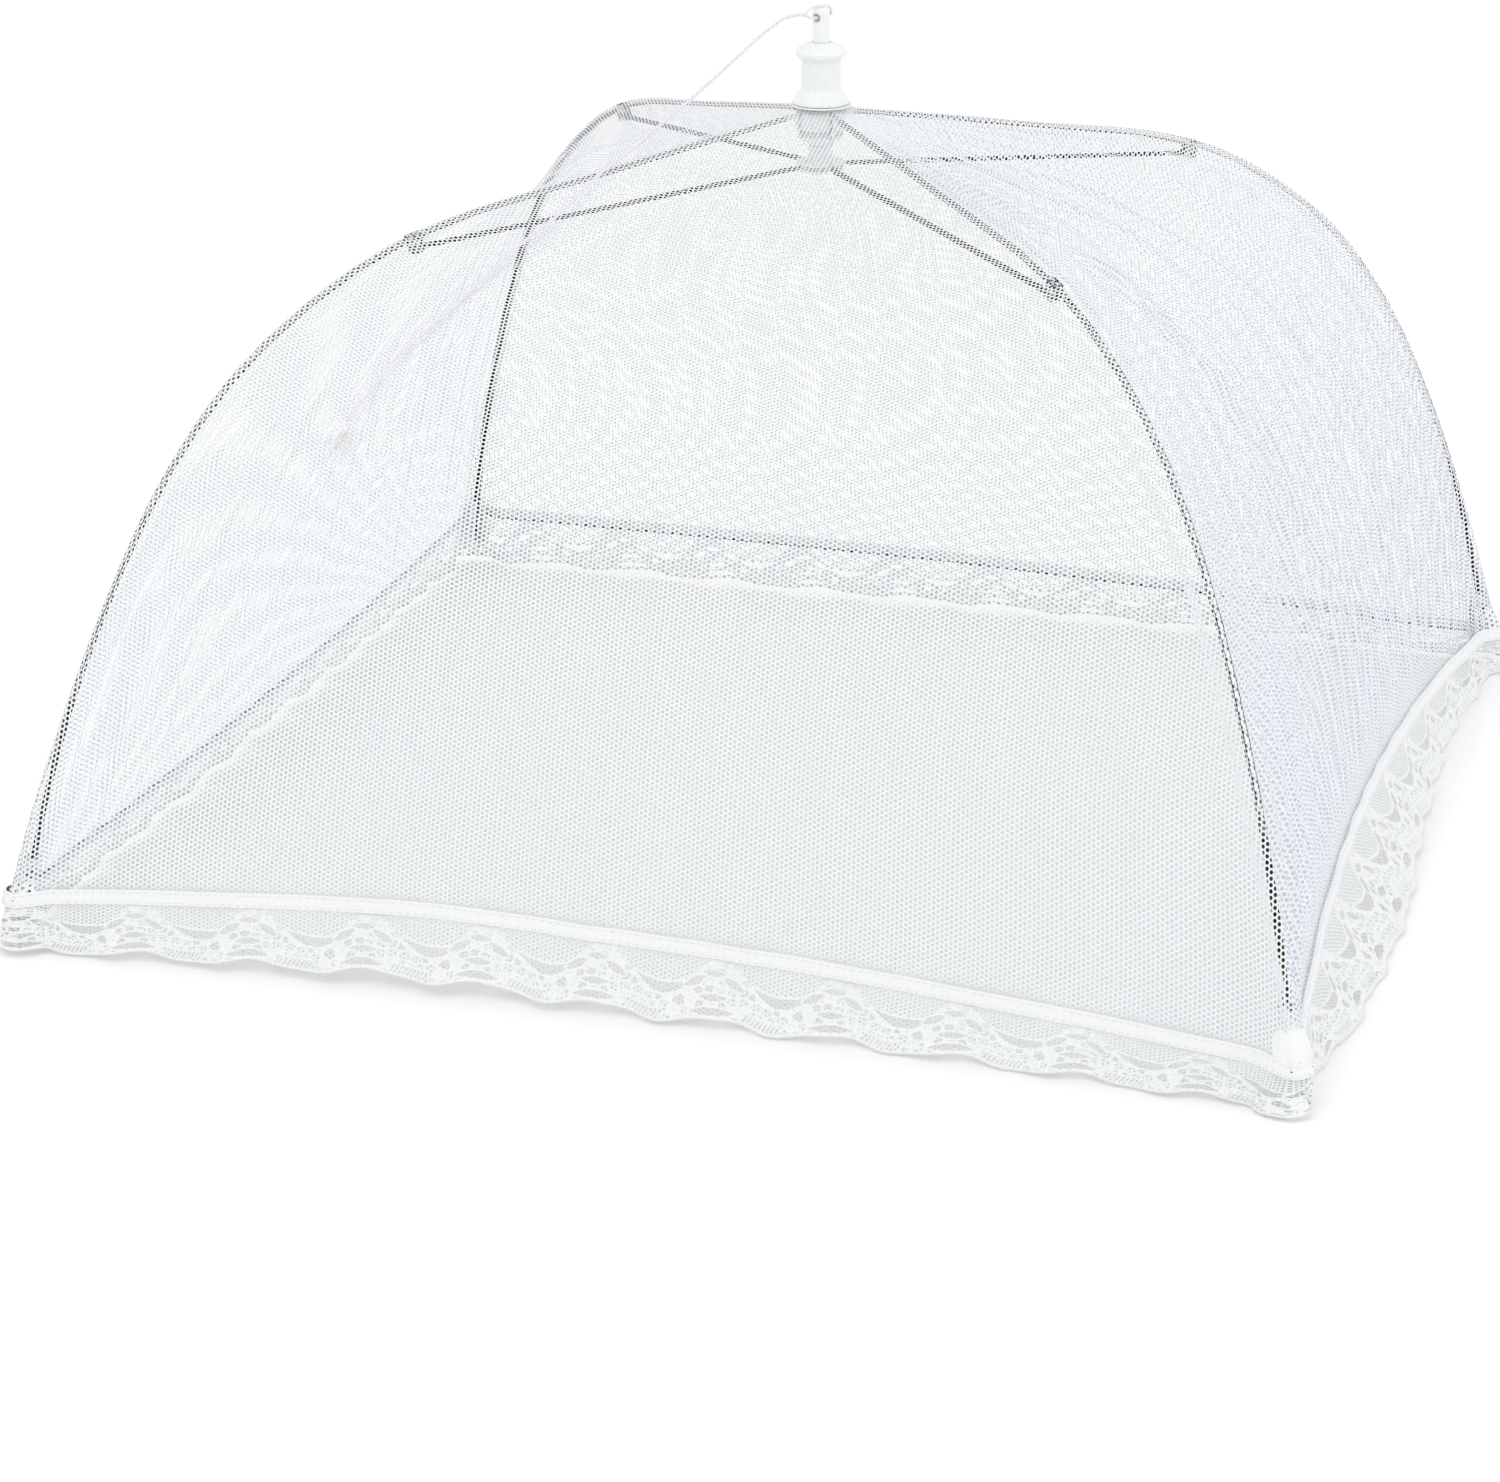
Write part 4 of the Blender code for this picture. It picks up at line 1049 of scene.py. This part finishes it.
for sideName in sides:
    for halfName in ("left", "right"):
        netPiece = netHalf(sideName, halfName)
        tapePiece = tapeHalf(sideName, halfName)
        lacePiece = laceHalf(sideName, halfName)
        stitchPiece = stitchRow(sideName, halfName)
        edgePiece = laceEdge(sideName, halfName)
        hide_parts("net_panel_" + sideName)
        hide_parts("hem_tape_" + sideName)
        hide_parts("lace_frill_" + sideName)
        hemPieces = [tapePiece, stitchPiece, hemShadowLine(sideName, halfName)]
        if halfName == "right":
            hemPieces.append(seamBinding(sideName))
    print("cloth made on the", sideName)

for cornerName in corners:
    pocketPiece = cornerPocket(cornerName)
    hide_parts("corner_pocket_" + cornerName)
    tipRing(cornerName)
print("pockets made")


# knot and frayed end of the cord

def endKnot():
    turn = np.linspace(0, 2 * math.pi, 90, endpoint=False)
    size = cord["knotRadius"] / 3
    line = np.stack([(2 + np.cos(3 * turn)) * np.cos(2 * turn), (2 + np.cos(3 * turn)) * np.sin(2 * turn),
                     1.1 * np.sin(3 * turn)], 1) * size
    lean = Matrix.Rotation(math.radians(50), 3, "X")
    line = line @ np.array(lean).T + np.array(cord["knot"])
    return tubePiece("cord_knot", [line], cord["knotYarn"], litCordYarn, closed=True)


def frayedEnd():
    random.seed(4)
    share = nearestShare(cord["knot"])
    lines = []
    for k in range(cord["frayThreads"]):
        reach = random.uniform(0.016, 0.034)
        drift = random.uniform(-0.010, 0.016)
        sway = random.uniform(-0.004, 0.004)
        u = np.linspace(0, 1, 9)
        s = share[0] + drift * u ** 0.8 + sway * np.sin(3 * u)
        t = share[1] - 0.002 + reach * u
        lift = 0.0014 * (1 - u) + random.uniform(0.0002, 0.0009) * np.sin(math.pi * u) + 0.0002
        lines.append(clothPoint("front", s, t, lift))
    radii = np.linspace(1.0, 0.5, 9)
    return tubePiece("frayed_end", lines, cord["frayYarn"], litCordYarn, resolution=1, radii=radii)


def nearestShare(point):
    s, t = np.meshgrid(np.linspace(0.02, 0.98, 193), np.linspace(0.05, 0.98, 187))
    s, t = s.ravel(), t.ravel()
    far = np.linalg.norm(clothPoint("front", s, t) - np.array(point), axis=1)
    best = int(np.argmin(far))
    return s[best], t[best]


knotPiece = endKnot()
frayPiece = frayedEnd()
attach(pullCord, "root")
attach(knotPiece, "root")
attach(frayPiece, "root")
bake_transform(cordLoop)
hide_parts("pull_cord")
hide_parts("cord_loop")
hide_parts("cord_end_knot")
print("cord tied")


# floor, backdrop and light

stageLook = {"floorHeight": -0.0002, "floorSize": 30.0, "floorColor": 0.97, "floorGlow": 0.19,
             "paintedShadeGlow": 0.02, "glowFrom": 0.215, "glowTo": 0.245,
             "ambient": 0.85, "keyEnergy": 8.0, "keyPlace": (-0.5, -1.4, 1.9), "keySize": 1.6,
             "fillEnergy": 4.5, "fillPlace": (1.9, -0.2, 0.9), "fillSize": 1.2, "aimHeight": 0.12}


def floorMaterial():
    # white, with a faint glow towards the camera that lifts the open floor to pure white; under the
    # cover the glow drops, a square of painted shade on top of the cover's own shadow
    material = bpy.data.materials.new("floorWhite")
    material.use_nodes = True
    tree = material.node_tree
    tree.nodes.clear()
    output = tree.nodes.new("ShaderNodeOutputMaterial")
    diffuse = tree.nodes.new("ShaderNodeBsdfDiffuse")
    diffuse.inputs["Color"].default_value = (*[stageLook["floorColor"]] * 3, 1.0)
    glow = tree.nodes.new("ShaderNodeEmission")
    # the glow is lower in a square under the cover: painted shade
    reach = distancesAlong(tree, objectCoords(tree), (1.0, 0.0, 0.0), (0.0, 1.0, 0.0))
    glowHere = mapRange(tree, mathNode(tree, "MAXIMUM", *reach), stageLook["glowFrom"], stageLook["glowTo"],
                        stageLook["paintedShadeGlow"], stageLook["floorGlow"])
    tree.links.new(mathNode(tree, "MULTIPLY", seenDirectly(tree), glowHere), glow.inputs["Strength"])
    lit = tree.nodes.new("ShaderNodeAddShader")
    tree.links.new(diffuse.outputs[0], lit.inputs[0])
    tree.links.new(glow.outputs[0], lit.inputs[1])
    tree.links.new(lit.outputs[0], output.inputs["Surface"])
    return material


clearSelection()
bpy.ops.mesh.primitive_plane_add(size=stageLook["floorSize"], location=(0, 0, stageLook["floorHeight"]))
floor = named(bpy.context.object, "floor", floorMaterial())

world = bpy.data.worlds.new("studio")
scene.world = world
world.use_nodes = True
skyTree = world.node_tree
skyTree.nodes.clear()
skyOut = skyTree.nodes.new("ShaderNodeOutputWorld")
skyStrength = mapRange(skyTree, seenDirectly(skyTree), 0.0, 1.0, stageLook["ambient"], 1.0, smooth=False)
skyGlow = skyTree.nodes.new("ShaderNodeBackground")
feedAll(skyTree, skyGlow, {"Color": (1.0, 1.0, 1.0, 1.0), "Strength": skyStrength})
skyTree.links.new(skyGlow.outputs[0], skyOut.inputs["Surface"])

for lampName in ("key", "fill"):
    lampData = bpy.data.lights.new(lampName, "AREA")
    lampData.energy = stageLook[lampName + "Energy"]
    lampData.size = stageLook[lampName + "Size"]
    lamp = addObject(lampName, lampData)
    lamp.location = stageLook[lampName + "Place"]
    aim = Vector((0, 0, stageLook["aimHeight"])) - lamp.location
    lamp.rotation_euler = aim.to_track_quat("-Z", "Y").to_euler()
print("stage set")
